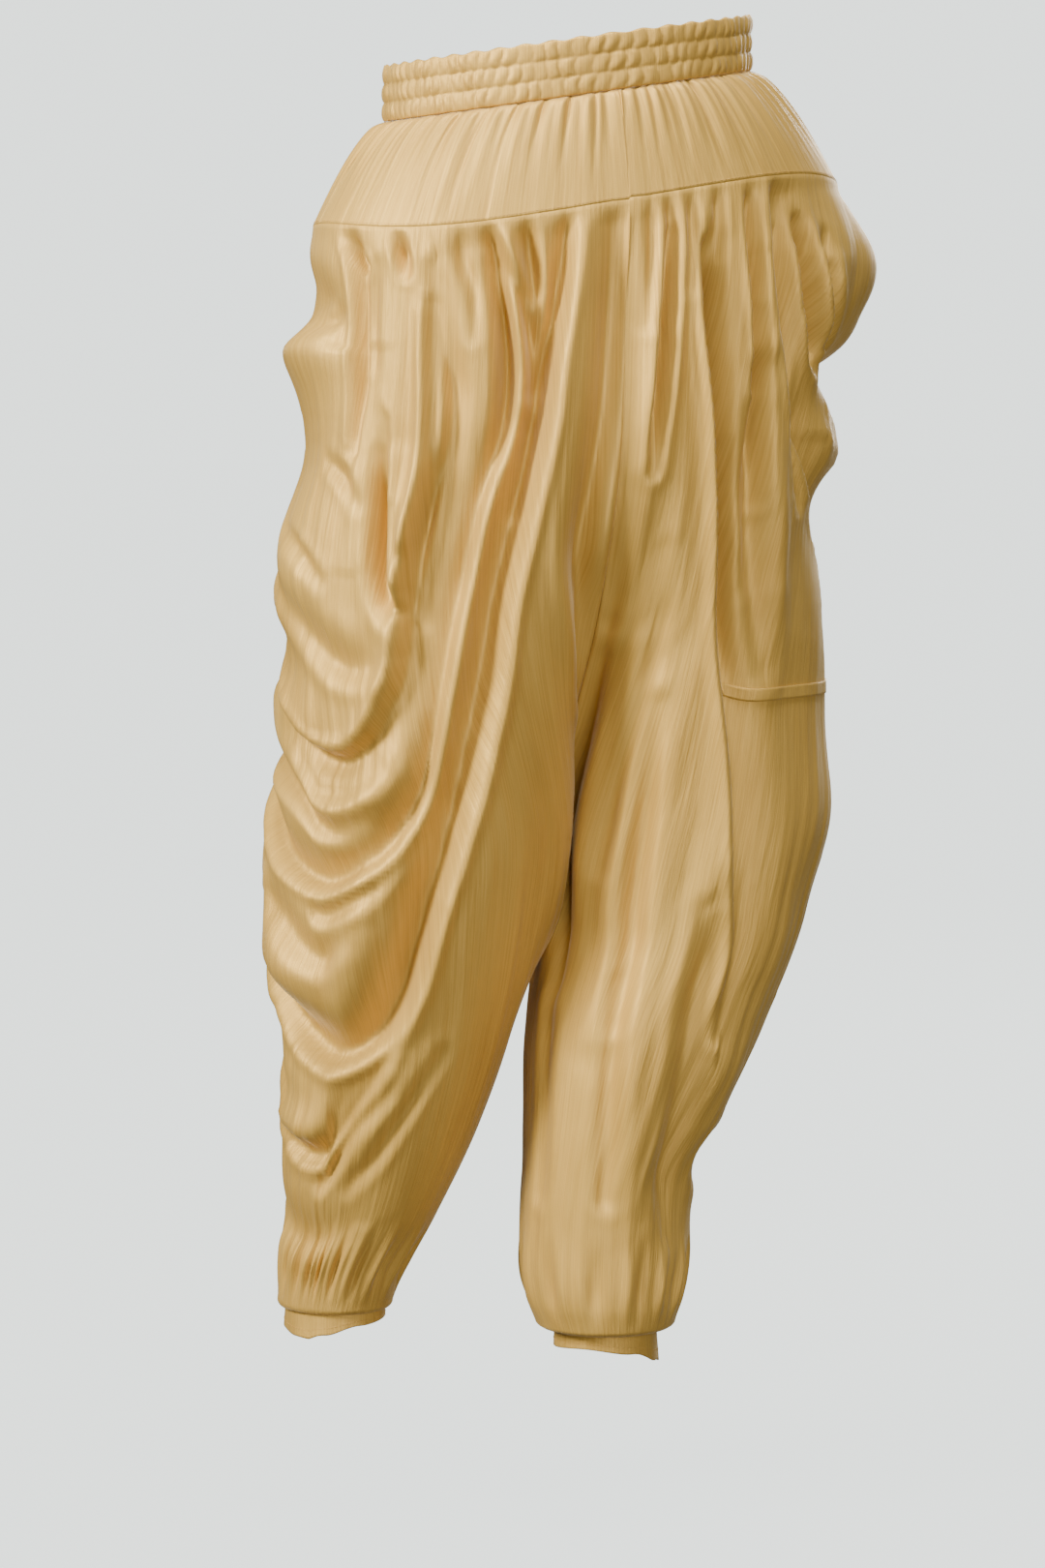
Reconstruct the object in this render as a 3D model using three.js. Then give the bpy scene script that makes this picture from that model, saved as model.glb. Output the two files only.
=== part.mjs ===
// Draped dhoti trousers, worn and hollow: elastic waistband, yoke, two pleated cowl legs, ankle cuffs.
// Millimetres, +Z up. The front faces -Y, the left leg is on +X, and the origin is the middle of the waistband.
import * as THREE from "three";

// Cloth and seams
const CLOTH = 1.6;
const SEAM_GAP = 0.3;

// Waistband: an oval ring of three elastic channels, higher on the right
const BAND = { halfWide: 135, halfDeep: 102, tall: 40, wall: 3, tilt: 0.147, channels: 3, ruches: 84, puff: 1.5 };
const BAND_COLUMNS = 168;

// Yoke and its lower seam
const SEAM_Z = -97;
const SEAM_TILT = 0.165;
const SEAM_TIP_RISE = 0.54;
const SEAM_TIP_AT = 196;
const YOKE = { rows: 3, gathers: 20, gatherDepth: 2, gatherFade: 1.2, waver: 9, bulge: 0.66, sideGap: 0.0009 };

// Legs: where the seat starts to part, where the legs part fully, and the level where the tilt has gone
const SPLIT = 120;
const CROTCH = 480;
const TILT_FADE = { from: 60, to: 440 };
const OVAL_POWER = 0.92;
const RING_POWER = 0.95;
const RING_WARP = 1.6;
const LEG_COLUMNS = 52;
const LEG_ROWS_ABOVE = 14;
const LEG_ROWS_BELOW = 10;
const LEG_ROW_SPREAD = 1.15;
const LEAST_FOLD_WIDTH = 11;
const FOLD_START = 34;
const FOLD_AT_SEAM = 0.15;
const CENTRE_GAP = 0.15;
const CROTCH_Y = -8;
const CREVICE = { depth: 9, from: 8, full: 90, fade: 240, end: 350 };
const SEAM_REACH = 0.022;
const INSEAM_REACH = 0.16;
const INSEAM_FADE = 130;
const PATH_SCALE = 500;
const STEPS_PER_POINT = 5;
const PLACE_STEP = 0.002;
const DROP_STEP = 1;

// Hips: drop below the yoke seam, centre line across, reach to each side, and depth behind and in front
const HIPS = [
  { drop: 0, centre: 0, left: 190, right: 205, back: 124, front: 112 },
  { drop: 60, centre: 2, left: 194, right: 208, back: 130, front: 118 },
  { drop: 150, centre: 5, left: 202, right: 198, back: 134, front: 122 },
  { drop: 280, centre: 8, left: 212, right: 187, back: 130, front: 124 },
  { drop: 400, centre: 13, left: 218, right: 190, back: 124, front: 122 },
  { drop: 480, centre: 18, left: 218, right: 190, back: 116, front: 118 },
  { drop: 520, centre: 20, left: 218, right: 190, back: 116, front: 118 },
  { drop: 600, centre: 40, left: 218, right: 190, back: 116, front: 118 },
  { drop: 700, centre: 60, left: 218, right: 190, back: 116, front: 118 },
];

// Leg sections: drop, distance out from the middle, distance back, half width, half depth, turn in degrees
const LEFT_SECTIONS = [
  { drop: 0, out: 98, back: 0, wide: 98, deep: 124, turn: 0 },
  { drop: 150, out: 106, back: 0, wide: 96, deep: 126, turn: 0 },
  { drop: 300, out: 114, back: 0, wide: 94, deep: 124, turn: 8 },
  { drop: 430, out: 118, back: -4, wide: 95, deep: 112, turn: 22 },
  { drop: 520, out: 125, back: -10, wide: 93, deep: 102, turn: 30 },
  { drop: 600, out: 131, back: -16, wide: 80, deep: 90, turn: 35 },
  { drop: 670, out: 137, back: -25, wide: 68, deep: 74, turn: 38 },
  { drop: 740, out: 149, back: -38, wide: 51, deep: 58, turn: 40 },
  { drop: 785, out: 161, back: -48, wide: 42, deep: 46, turn: 40 },
  { drop: 808, out: 164, back: -53, wide: 41, deep: 43, turn: 40 },
];
const RIGHT_SECTIONS = [
  { drop: 0, out: 98, back: 0, wide: 98, deep: 124, turn: 0 },
  { drop: 150, out: 91, back: 0, wide: 101, deep: 126, turn: 0 },
  { drop: 300, out: 84, back: 0, wide: 104, deep: 124, turn: 5 },
  { drop: 430, out: 91, back: 5, wide: 97, deep: 114, turn: 12 },
  { drop: 520, out: 84, back: 10, wide: 95, deep: 106, turn: 18 },
  { drop: 600, out: 56, back: 15, wide: 88, deep: 98, turn: 20 },
  { drop: 670, out: 35, back: 21, wide: 73, deep: 84, turn: 20 },
  { drop: 715, out: 22, back: 26, wide: 63, deep: 72, turn: 20 },
  { drop: 760, out: 18, back: 30, wide: 63, deep: 66, turn: 20 },
  { drop: 800, out: 16, back: 34, wide: 58, deep: 61, turn: 20 },
  { drop: 818, out: 16, back: 38, wide: 52, deep: 54, turn: 20 },
];

// Folds. A path point is [place round the panel, drop, share of the depth]; the place runs from 0 at the
// centre back over 0.5 at the outer side to 1 at the centre front. Depth is inward, so a ridge has a minus.
// Below is the width of the fold's bank on its lower or centre side, above the width of its other bank.
const LEFT_FOLDS = [
  { depth: 13, below: 9, above: 14, path: [[0.006, 15, 0.4], [0.011, 80, 0.9], [0.016, 140, 1], [0.024, 195, 1],
    [0.03, 250, 1], [0.015, 300, 0.8], [0.005, 345, 0.4]] },
  { depth: 17, below: 7, above: 24, path: [[0.065, 5, 0.2], [0.075, 50, 0.5], [0.088, 105, 0.7], [0.097, 150, 1],
    [0.108, 190, 1], [0.122, 230, 1], [0.14, 275, 1], [0.16, 325, 1], [0.185, 365, 1], [0.215, 405, 1],
    [0.248, 450, 1], [0.275, 500, 1], [0.305, 552, 1], [0.35, 585, 0.8], [0.42, 605, 0.6], [0.5, 612, 0.5],
    [0.58, 600, 0.5], [0.66, 560, 0.6], [0.74, 480, 0.8], [0.8, 380, 0.9], [0.84, 260, 0.9], [0.87, 140, 0.7],
    [0.89, 40, 0.4]] },
  { depth: 6, below: 5, above: 9, path: [[0.12, 5, 0.8], [0.112, 33, 1], [0.104, 65, 1], [0.096, 95, 1],
    [0.092, 125, 0.5]] },
  { depth: 14, below: 6, above: 18, path: [[0.165, 8, 0.5], [0.15, 50, 0.9], [0.138, 85, 1], [0.134, 110, 1],
    [0.137, 135, 0.9], [0.145, 160, 0.9], [0.168, 205, 1], [0.183, 250, 1], [0.2, 290, 0.9], [0.222, 335, 0.9],
    [0.25, 380, 1], [0.285, 420, 0.9], [0.335, 452, 0.8], [0.39, 474, 0.6], [0.46, 482, 0.6], [0.54, 472, 0.5],
    [0.62, 440, 0.5], [0.7, 380, 0.7], [0.77, 290, 0.9], [0.82, 190, 0.9], [0.845, 90, 0.7], [0.85, 30, 0.5]] },
  { depth: 15, below: 17, above: 6, path: [[0.238, 30, 0.2], [0.222, 80, 0.6], [0.211, 112, 1], [0.207, 135, 1],
    [0.209, 160, 1], [0.218, 185, 1], [0.228, 210, 1], [0.237, 240, 0.9], [0.245, 270, 0.9], [0.262, 320, 0.9],
    [0.29, 352, 0.8], [0.335, 382, 0.8], [0.385, 392, 0.7], [0.45, 376, 0.6], [0.53, 350, 0.4], [0.6, 318, 0.3],
    [0.68, 270, 0.5], [0.74, 210, 0.8], [0.78, 140, 0.9], [0.8, 50, 0.5]] },
  { depth: 8, below: 4, above: 9, path: [[0.305, 140, 0.2], [0.3, 190, 0.9], [0.295, 225, 1], [0.289, 252, 1],
    [0.277, 277, 0.9], [0.262, 284, 0.3]] },
  { depth: -4, below: 9, above: 8, path: [[0.278, 170, 0.3], [0.272, 215, 1], [0.268, 258, 1]] },
  { depth: 5, below: 15, above: 4, path: [[0.41, 8, 0.6], [0.385, 28, 1], [0.37, 60, 1], [0.363, 108, 0.9],
    [0.36, 155, 0.5]] },
  { depth: 3, below: 5, above: 4, path: [[0.295, 8, 1], [0.285, 32, 0.7]] },
  { depth: 11, below: 13, above: 12, path: [[0.41, 64, 0.3], [0.47, 54, 1], [0.55, 48, 1], [0.64, 44, 0.7]] },
  { depth: -11, below: 24, above: 15, path: [[0.45, 92, 0.6], [0.52, 95, 1], [0.63, 95, 0.7]] },
  { depth: 4, below: 26, above: 20, path: [[0.42, 168, 0.5], [0.52, 172, 1], [0.62, 165, 0.8]] },
  { depth: -8, below: 34, above: 40, path: [[0.44, 262, 0.5], [0.53, 268, 1], [0.63, 262, 0.8]] },
  { depth: 5, below: 9, above: 15, path: [[0.3, 322, 0.4], [0.36, 326, 1], [0.42, 312, 1], [0.5, 288, 0.9],
    [0.58, 262, 0.7], [0.66, 228, 0.4]] },
  { depth: -6, below: 18, above: 22, path: [[0.5, 368, 0.5], [0.58, 360, 1], [0.68, 350, 0.8]] },
  { depth: 6, below: 7, above: 11, path: [[0.36, 438, 0.4], [0.42, 447, 0.8], [0.5, 438, 0.8], [0.58, 420, 0.9],
    [0.67, 402, 1], [0.74, 380, 0.4]] },
  { depth: 4, below: 8, above: 12, path: [[0.4, 525, 0.4], [0.48, 541, 1], [0.57, 535, 1], [0.66, 508, 0.8]] },
  { depth: -5, below: 16, above: 20, path: [[0.54, 552, 0.4], [0.62, 552, 1], [0.7, 546, 1]] },
  { depth: 6, below: 34, above: 18, path: [[0.5, 606, 0.4], [0.6, 604, 1], [0.7, 600, 1], [0.78, 590, 0.5]] },
  { depth: 6, below: 5, above: 20, path: [[0.268, 505, 0.3], [0.285, 550, 0.7], [0.325, 597, 0.8],
    [0.36, 630, 0.8], [0.4, 650, 0.9], [0.45, 670, 1], [0.52, 687, 1], [0.6, 692, 1], [0.68, 682, 1],
    [0.75, 650, 0.8], [0.81, 590, 0.5]] },
  { depth: -6, below: 9, above: 13, path: [[0.52, 664, 0.3], [0.6, 674, 1], [0.7, 668, 1]] },
  { depth: 5, below: 11, above: 16, path: [[0.4, 748, 0.5], [0.5, 756, 1], [0.62, 755, 1], [0.74, 742, 0.5]] },
];
const RIGHT_FOLDS = [
  { depth: 8, below: 9, above: 9, path: [[0, 20, 0.4], [0, 90, 0.9], [0, 200, 1], [0.004, 300, 0.8]] },
  { depth: 5, below: 4, above: 5, path: [[0.038, 5, 0.6], [0.042, 25, 1], [0.039, 60, 1], [0.036, 95, 1],
    [0.034, 130, 1], [0.03, 160, 0.9], [0.03, 192, 0.3]] },
  { depth: 3, below: 9, above: 9, path: [[0.028, 205, 0.5], [0.038, 250, 1], [0.035, 300, 0.5]] },
  { depth: 17, below: 6, above: 20, path: [[0.084, 34, 0.1], [0.086, 62, 0.5], [0.091, 95, 0.9], [0.101, 130, 1],
    [0.113, 172, 1], [0.125, 210, 1], [0.139, 250, 1], [0.156, 300, 1], [0.175, 350, 0.95], [0.194, 400, 0.85],
    [0.211, 450, 0.75], [0.23, 500, 0.6], [0.25, 550, 0.4], [0.27, 600, 0.2]] },
  { depth: 9, below: 34, above: 38, path: [[0.21, 290, 0.3], [0.24, 350, 1], [0.255, 400, 1], [0.268, 450, 1],
    [0.285, 500, 0.7], [0.3, 560, 0.3]] },
  { depth: 5, below: 4, above: 7, path: [[0.143, 10, 0.7], [0.144, 45, 1], [0.152, 85, 1], [0.157, 115, 0.9],
    [0.166, 145, 0.6]] },
  { depth: 9, below: 9, above: 10, path: [[0.168, 135, 0.5], [0.171, 180, 1], [0.175, 215, 1], [0.19, 250, 1],
    [0.21, 300, 0.7], [0.23, 340, 0.3]] },
  { depth: 8, below: 5, above: 14, path: [[0.188, 8, 0.6], [0.19, 60, 0.9], [0.2, 95, 1], [0.22, 135, 1],
    [0.237, 160, 1], [0.27, 190, 1], [0.31, 217, 0.7], [0.36, 250, 0.3]] },
  { depth: 10, below: 5, above: 6, path: [[0.228, 30, 0.2], [0.24, 72, 1], [0.255, 97, 1], [0.27, 115, 0.9],
    [0.292, 134, 0.4]] },
  { depth: 7, below: 6, above: 5, path: [[0.28, 45, 0.3], [0.29, 72, 1], [0.31, 92, 1], [0.335, 115, 1],
    [0.36, 135, 0.6]] },
  { depth: -19, below: 46, above: 40, path: [[0.36, 56, 0.5], [0.43, 58, 1], [0.52, 60, 1], [0.63, 58, 0.6]] },
  { depth: 13, below: 11, above: 20, path: [[0.34, 132, 0.4], [0.4, 146, 1], [0.5, 153, 1], [0.63, 150, 0.7]] },
  { depth: -10, below: 16, above: 22, path: [[0.36, 186, 0.6], [0.44, 191, 1], [0.55, 189, 1], [0.64, 184, 0.5]] },
  { depth: 5, below: 24, above: 14, path: [[0.36, 232, 0.5], [0.45, 238, 1], [0.6, 236, 0.7]] },
  { depth: -6, below: 44, above: 40, path: [[0.38, 330, 0.5], [0.48, 345, 1], [0.6, 340, 0.7]] },
  { depth: -9, below: 46, above: 46, path: [[0.38, 440, 0.6], [0.48, 440, 1], [0.6, 440, 0.6]] },
  { depth: -4, below: 10, above: 12, path: [[0.065, 320, 0.3], [0.09, 395, 1], [0.103, 447, 1], [0.105, 500, 1],
    [0.115, 550, 0.8], [0.12, 600, 0.3]] },
  { depth: 4, below: 7, above: 7, path: [[0.1, 360, 0.4], [0.114, 425, 1], [0.123, 480, 1], [0.128, 530, 1],
    [0.14, 590, 0.4]] },
  { depth: -5, below: 10, above: 14, path: [[0.105, 345, 0.3], [0.12, 398, 1], [0.134, 447, 1], [0.142, 500, 1],
    [0.152, 550, 1], [0.165, 605, 1], [0.176, 655, 1], [0.2, 705, 0.7], [0.215, 740, 0.2]] },
  { depth: 7, below: 10, above: 18, path: [[0.195, 510, 0.3], [0.205, 545, 1], [0.216, 580, 1], [0.23, 612, 1],
    [0.242, 645, 1], [0.262, 690, 0.9], [0.29, 745, 0.3]] },
  { depth: 8, below: 12, above: 12, path: [[0.008, 320, 0.4], [0.02, 380, 1], [0.034, 450, 1], [0.046, 500, 1],
    [0.054, 560, 0.4]] },
  { depth: 5, below: 12, above: 14, path: [[0.36, 690, 0.3], [0.44, 700, 1], [0.54, 700, 0.8]] },
];

// The hidden front repeats some of the back's folds, moved a little and with other depths
const LEFT_FRONT = [{ of: 0, shift: 0.004, share: 0.8 }, { of: 2, shift: -0.03, share: 1 },
  { of: 5, shift: 0.03, share: 0.8 }, { of: 7, shift: 0.02, share: 1 }, { of: 8, shift: -0.01, share: 1 }];
const RIGHT_FRONT = [{ of: 0, shift: 0, share: 0.7 }, { of: 1, shift: 0.012, share: 1 },
  { of: 3, shift: 0.008, share: 0.85 }, { of: 4, shift: 0.02, share: 0.9 }, { of: 5, shift: 0.01, share: 1.2 },
  { of: 6, shift: -0.012, share: 0.9 }, { of: 7, shift: 0.012, share: 1.1 }, { of: 8, shift: -0.01, share: 0.8 },
  { of: 9, shift: 0.01, share: 1 }, { of: 16, shift: 0.01, share: 1 }, { of: 18, shift: -0.01, share: 1 },
  { of: 19, shift: 0.01, share: 0.8 }, { of: 20, shift: 0, share: 0.8 }];

// Gathers above each cuff, and the way the leg tucks in over it
const ANKLE_GATHERS = { count: 13, depth: 2.6, reach: 75, fadeFrom: 30 };
const TUCK = [{ fall: 4, inset: 0.25 }, { fall: 5.5, inset: 1 }];

// Cuffs: each hem's drop below the leg's end, at eight even places from the inseam round by the back
const CUFF_TOP = 2;
const CUFF_ROWS = 3;
const CUFF_COLUMNS = 32;
const CUFF_FLARE = 0.06;
const CUFF_FLARE_FROM = 8;
const LEFT_CUFF = { wide: 36, deep: 38, hem: [14, 10, 13, 22, 26, 24, 20, 17] };
const RIGHT_CUFF = { wide: 38, deep: 40, hem: [21, 12, 18, 32, 33, 29, 26, 24] };

// Join strip across the outer right leg, where the pleated upper panel meets the plain lower side
const STRIP = { drop: 354, wide: 9, from: 0.165, to: 0.84, dip: 17, dipEnd: 0.225, dipLead: 0.06, dipSpread: 55,
  thick: 1.4 };

const FABRIC = { color: 0xd2b273, roughness: 0.62, metalness: 0 };

function clamp(value, low, high) {
  return Math.min(Math.max(value, low), high);
}

function smooth(from, to, value) {
  const u = clamp((value - from) / (to - from), 0, 1);
  return u * u * (3 - 2 * u);
}

function power(value, exponent) {
  return Math.sign(value) * Math.abs(value) ** exponent;
}

// Value of one column of a table at a drop, on a curve that never overshoots its rows
function column(table, name, drop) {
  const last = table.length - 1;
  const at = clamp(drop, table[0].drop, table[last].drop);
  let row = 0;
  while (row < last - 1 && at > table[row + 1].drop) row += 1;
  const slope = (k) => (table[k + 1][name] - table[k][name]) / (table[k + 1].drop - table[k].drop);
  const tangent = (k) => {
    if (k === 0) return slope(0);
    if (k === last) return slope(last - 1);
    const before = slope(k - 1);
    const after = slope(k);
    return before * after > 0 ? (2 * before * after) / (before + after) : 0;
  };
  const length = table[row + 1].drop - table[row].drop;
  const u = (at - table[row].drop) / length;
  const start = (1 + 2 * u) * (1 - u) ** 2 * table[row][name] + u * (1 - u) ** 2 * length * tangent(row);
  const end = u * u * (3 - 2 * u) * table[row + 1][name] + u * u * (u - 1) * length * tangent(row + 1);
  return start + end;
}

// How far the seat has parted into two legs at a drop
function parted(drop) {
  const u = clamp((drop - SPLIT) / (CROTCH - SPLIT), 0, 1);
  return u ** 3 * (4 - 3 * u);
}

// Height that the right side gains over the left at a place across, on the yoke seam and just below
function seamRise(x) {
  return -SEAM_TILT * x * (1 - SEAM_TIP_RISE * Math.abs(x / SEAM_TIP_AT) ** 4);
}

// Share of a turn round the leg, quick past the inner thigh
function ringTurn(place) {
  const near = place < 0.5 ? place : 1 - place;
  const turned = 0.5 * (1 - (1 - 2 * near) ** RING_WARP);
  return place < 0.5 ? turned : 1 - turned;
}

// Half of the seat, parting into a leg's oval; x runs out from the middle, side is 1 left and -1 right
function legSection(side, place, drop) {
  const centre = column(HIPS, "centre", drop);
  const reach = side > 0 ? column(HIPS, "left", drop) - centre : column(HIPS, "right", drop) + centre;
  const angle = Math.PI * (0.5 - place);
  const depth = column(HIPS, place < 0.5 ? "back" : "front", drop);
  const hipX = reach * power(Math.cos(angle), OVAL_POWER) + side * centre;
  const hipY = depth * power(Math.sin(angle), OVAL_POWER);
  const sections = side > 0 ? LEFT_SECTIONS : RIGHT_SECTIONS;
  const turn = THREE.MathUtils.degToRad(column(sections, "turn", drop));
  const round = 2 * Math.PI * ringTurn(place);
  const across = -power(Math.cos(round), RING_POWER) * column(sections, "wide", drop);
  const along = power(Math.sin(round), RING_POWER) * column(sections, "deep", drop);
  const ringX = column(sections, "out", drop) + across * Math.cos(turn) - along * Math.sin(turn);
  const ringY = column(sections, "back", drop) + across * Math.sin(turn) + along * Math.cos(turn);
  const share = parted(drop);
  return { x: (1 - share) * hipX + share * ringX, y: (1 - share) * hipY + share * ringY };
}

// Point of the unfolded leg, with its centre edges drawn to the crotch seam
function legPoint(side, place, drop) {
  const centre = side * column(HIPS, "centre", drop);
  const share = parted(drop);
  const edgePlace = place < 0.5 ? 0 : 1;
  const seamY = (1 - share) * (place < 0.5 ? 1 : -1) * column(HIPS, place < 0.5 ? "back" : "front", drop)
    + share * CROTCH_Y;
  const edge = legSection(side, edgePlace, drop);
  const near = 1 - smooth(0, INSEAM_REACH, Math.abs(place - edgePlace));
  const held = near * (1 - smooth(CROTCH, CROTCH + INSEAM_FADE, drop));
  const free = legSection(side, place, drop);
  const x = Math.max(free.x + (centre + CENTRE_GAP - edge.x) * held, centre + CENTRE_GAP);
  const y = free.y + (seamY - edge.y) * held;
  const tilted = 1 - clamp((drop - TILT_FADE.from) / (TILT_FADE.to - TILT_FADE.from), 0, 1);
  return new THREE.Vector3(side * x, y, SEAM_Z - drop + seamRise(side * x) * tilted);
}

// A fold's path as short straight steps, each with the share of the depth there
function foldSteps(fold) {
  const points = fold.path.map(([place, drop, share]) => new THREE.Vector3(place * PATH_SCALE, drop, share));
  const curve = new THREE.CatmullRomCurve3(points, false, "centripetal");
  return curve.getPoints(STEPS_PER_POINT * points.length);
}

// The same fold on the other half of the leg
function onFront(folds, { of, shift, share }) {
  const fold = folds[of];
  const path = fold.path.map(([place, drop, depth]) => [1 - place + shift, drop, depth]).reverse();
  return { ...fold, depth: fold.depth * share, path };
}

function allFolds(folds, front) {
  return [...folds, ...front.map((copy) => onFront(folds, copy))].map((fold) => ({ ...fold, steps: foldSteps(fold) }));
}

// Depth of one fold at a place and drop; girth is the cloth's length for the whole round there
function foldDepth(fold, place, drop, girth) {
  let nearest = Infinity;
  let signed = 0;
  let share = 0;
  for (let k = 0; k + 1 < fold.steps.length; k += 1) {
    const from = fold.steps[k];
    const to = fold.steps[k + 1];
    const runX = ((to.x - from.x) / PATH_SCALE) * girth;
    const runY = to.y - from.y;
    const offX = (place - from.x / PATH_SCALE) * girth;
    const offY = drop - from.y;
    const along = clamp((offX * runX + offY * runY) / (runX * runX + runY * runY), 0, 1);
    const away = Math.hypot(offX - along * runX, offY - along * runY);
    if (away < nearest) {
      nearest = away;
      signed = Math.sign(runX * offY - runY * offX) * away;
      share = from.z + along * (to.z - from.z);
    }
  }
  const width = Math.max(signed > 0 ? fold.below : fold.above, LEAST_FOLD_WIDTH);
  const widened = Math.min(1, (fold.below + fold.above) / (2 * LEAST_FOLD_WIDTH)) ** 0.5;
  return fold.depth * widened * share * Math.exp(-((signed / width) ** 2));
}

const LEG = {
  left: { side: 1, sections: LEFT_SECTIONS, folds: allFolds(LEFT_FOLDS, LEFT_FRONT), cuff: LEFT_CUFF },
  right: { side: -1, sections: RIGHT_SECTIONS, folds: allFolds(RIGHT_FOLDS, RIGHT_FRONT), cuff: RIGHT_CUFF },
};

// Depth of the crevice that both legs share along the centre seams
function seamDepth(drop) {
  return CREVICE.depth * smooth(CREVICE.from, CREVICE.full, drop) * (1 - smooth(CREVICE.fade, CREVICE.end, drop));
}

// Point of the folded leg's outer face
function foldedPoint(leg, place, drop) {
  const at = legPoint(leg.side, place, drop);
  const step = place < 1 - PLACE_STEP ? PLACE_STEP : -PLACE_STEP;
  const round = legPoint(leg.side, place + step, drop).sub(at).divideScalar(step);
  const down = legPoint(leg.side, place, drop + DROP_STEP).sub(at);
  const outward = round.clone().cross(down).multiplyScalar(leg.side).normalize();
  const end = leg.sections[leg.sections.length - 1].drop;
  let depth = 0;
  for (const fold of leg.folds) depth += foldDepth(fold, place, drop, round.length());
  depth *= FOLD_AT_SEAM + (1 - FOLD_AT_SEAM) * smooth(0, FOLD_START, drop);
  depth *= 1 - smooth(end - ANKLE_GATHERS.reach, end, drop);
  const gathered = smooth(end - ANKLE_GATHERS.reach, end - ANKLE_GATHERS.fadeFrom, drop)
    * (1 - smooth(end - ANKLE_GATHERS.fadeFrom, end, drop));
  depth += ANKLE_GATHERS.depth * gathered * Math.cos(2 * Math.PI * ANKLE_GATHERS.count * place + leg.side);
  const sewn = (1 - smooth(0, SEAM_REACH, Math.min(place, 1 - place))) * (1 - smooth(CROTCH, CROTCH + INSEAM_FADE, drop));
  depth = THREE.MathUtils.lerp(depth, seamDepth(drop), sewn);
  const point = at.addScaledVector(outward, -depth);
  const least = leg.side * column(HIPS, "centre", drop) + CENTRE_GAP;
  point.x = leg.side * Math.max(THREE.MathUtils.lerp(leg.side * point.x, least, sewn), least);
  return point;
}

// A closed wall from rows of outer and inner points. Rows from closedFrom on meet themselves all round;
// the rows above it, if any, have two free edges, and then both faces have the same rows.
function wall(outer, inner, closedFrom) {
  const positions = [];
  const faces = [];
  const columns = outer[0].length - 1;
  const number = (grid) => grid.map((row, i) => row.map((point, j) => {
    if (i >= closedFrom && j === columns) return -1;
    positions.push(point.x, point.y, point.z);
    return positions.length / 3 - 1;
  })).map((row) => row.map((index) => (index < 0 ? row[0] : index)));
  const outside = number(outer);
  const inside = number(inner);
  const quad = (a, b, c, d) => faces.push(a, c, b, a, d, c);
  const face = (grid, turned) => {
    for (let i = 0; i + 1 < grid.length; i += 1) {
      for (let j = 0; j < columns; j += 1) {
        const [low, next] = turned ? [grid[i][j + 1], grid[i + 1][j]] : [grid[i + 1][j], grid[i][j + 1]];
        quad(grid[i][j], low, grid[i + 1][j + 1], next);
      }
    }
  };
  face(outside, false);
  face(inside, true);
  for (let i = 0; i < Math.min(closedFrom, outside.length - 1); i += 1) {
    quad(inside[i][0], inside[i + 1][0], outside[i + 1][0], outside[i][0]);
    quad(outside[i][columns], outside[i + 1][columns], inside[i + 1][columns], inside[i][columns]);
  }
  const outerEnd = outside[outside.length - 1];
  const innerEnd = inside[inside.length - 1];
  for (let j = 0; j < columns; j += 1) {
    quad(inside[0][j], outside[0][j], outside[0][j + 1], inside[0][j + 1]);
    quad(outerEnd[j], innerEnd[j], innerEnd[j + 1], outerEnd[j + 1]);
  }
  const geometry = new THREE.BufferGeometry();
  geometry.setAttribute("position", new THREE.Float32BufferAttribute(positions, 3));
  geometry.setIndex(faces);
  geometry.computeVertexNormals();
  return geometry;
}

// Inner points of a wall: outer points moved back along the surface, held off the centre seam above the crotch
function innerPoints(outer, side, closedFrom, drops, thickness) {
  const columns = outer[0].length - 1;
  return outer.map((row, i) => row.map((point, j) => {
    const round = i >= closedFrom;
    const before = row[j > 0 ? j - 1 : round ? columns - 1 : 0];
    const after = row[j < columns ? j + 1 : round ? 1 : columns];
    const above = outer[Math.max(i - 1, 0)][j];
    const below = outer[Math.min(i + 1, outer.length - 1)][j];
    const normal = after.clone().sub(before).cross(below.clone().sub(above)).multiplyScalar(side).normalize();
    const moved = point.clone().addScaledVector(normal, -thickness);
    if (drops) {
      const least = side * column(HIPS, "centre", drops[i]) + CENTRE_GAP;
      moved.x = side * Math.max(side * moved.x, least);
      if (!round && (j === 0 || j === columns)) moved.x = point.x;
    }
    return moved;
  }));
}

// A right-hand piece is a left-hand one turned inside out, so its columns run the other way
function handed(side, grid) {
  return side > 0 ? grid : grid.map((row) => [...row].reverse());
}

// Drops of a leg's rows, closer near the yoke, with the marked rows in place of the next one
function legDrops(end, marks) {
  const drops = [];
  for (let i = 0; i <= LEG_ROWS_ABOVE; i += 1) drops.push(CROTCH * (i / LEG_ROWS_ABOVE) ** LEG_ROW_SPREAD);
  for (let i = 1; i <= LEG_ROWS_BELOW; i += 1) drops.push(CROTCH + ((end - CROTCH) * i) / LEG_ROWS_BELOW);
  if (marks.length) drops.splice(drops.findIndex((drop) => drop > marks[0]), 1, ...marks);
  drops[0] = 0;
  return drops;
}

// The join strip starts higher near the back, and the leg's rows bend with it
function joinDip(place, drop) {
  const near = Math.exp(-(((drop - STRIP.drop) / STRIP.dipSpread) ** 2));
  return STRIP.dip * near * (1 - smooth(STRIP.from - STRIP.dipLead, STRIP.dipEnd, place));
}

function ovalPoint(turn, wide, deep, grow) {
  const x = wide * power(Math.cos(turn), OVAL_POWER);
  const y = deep * power(Math.sin(turn), OVAL_POWER);
  const out = new THREE.Vector2(x / wide ** 2, y / deep ** 2).normalize().multiplyScalar(grow);
  return new THREE.Vector2(x, y).add(out);
}

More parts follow.
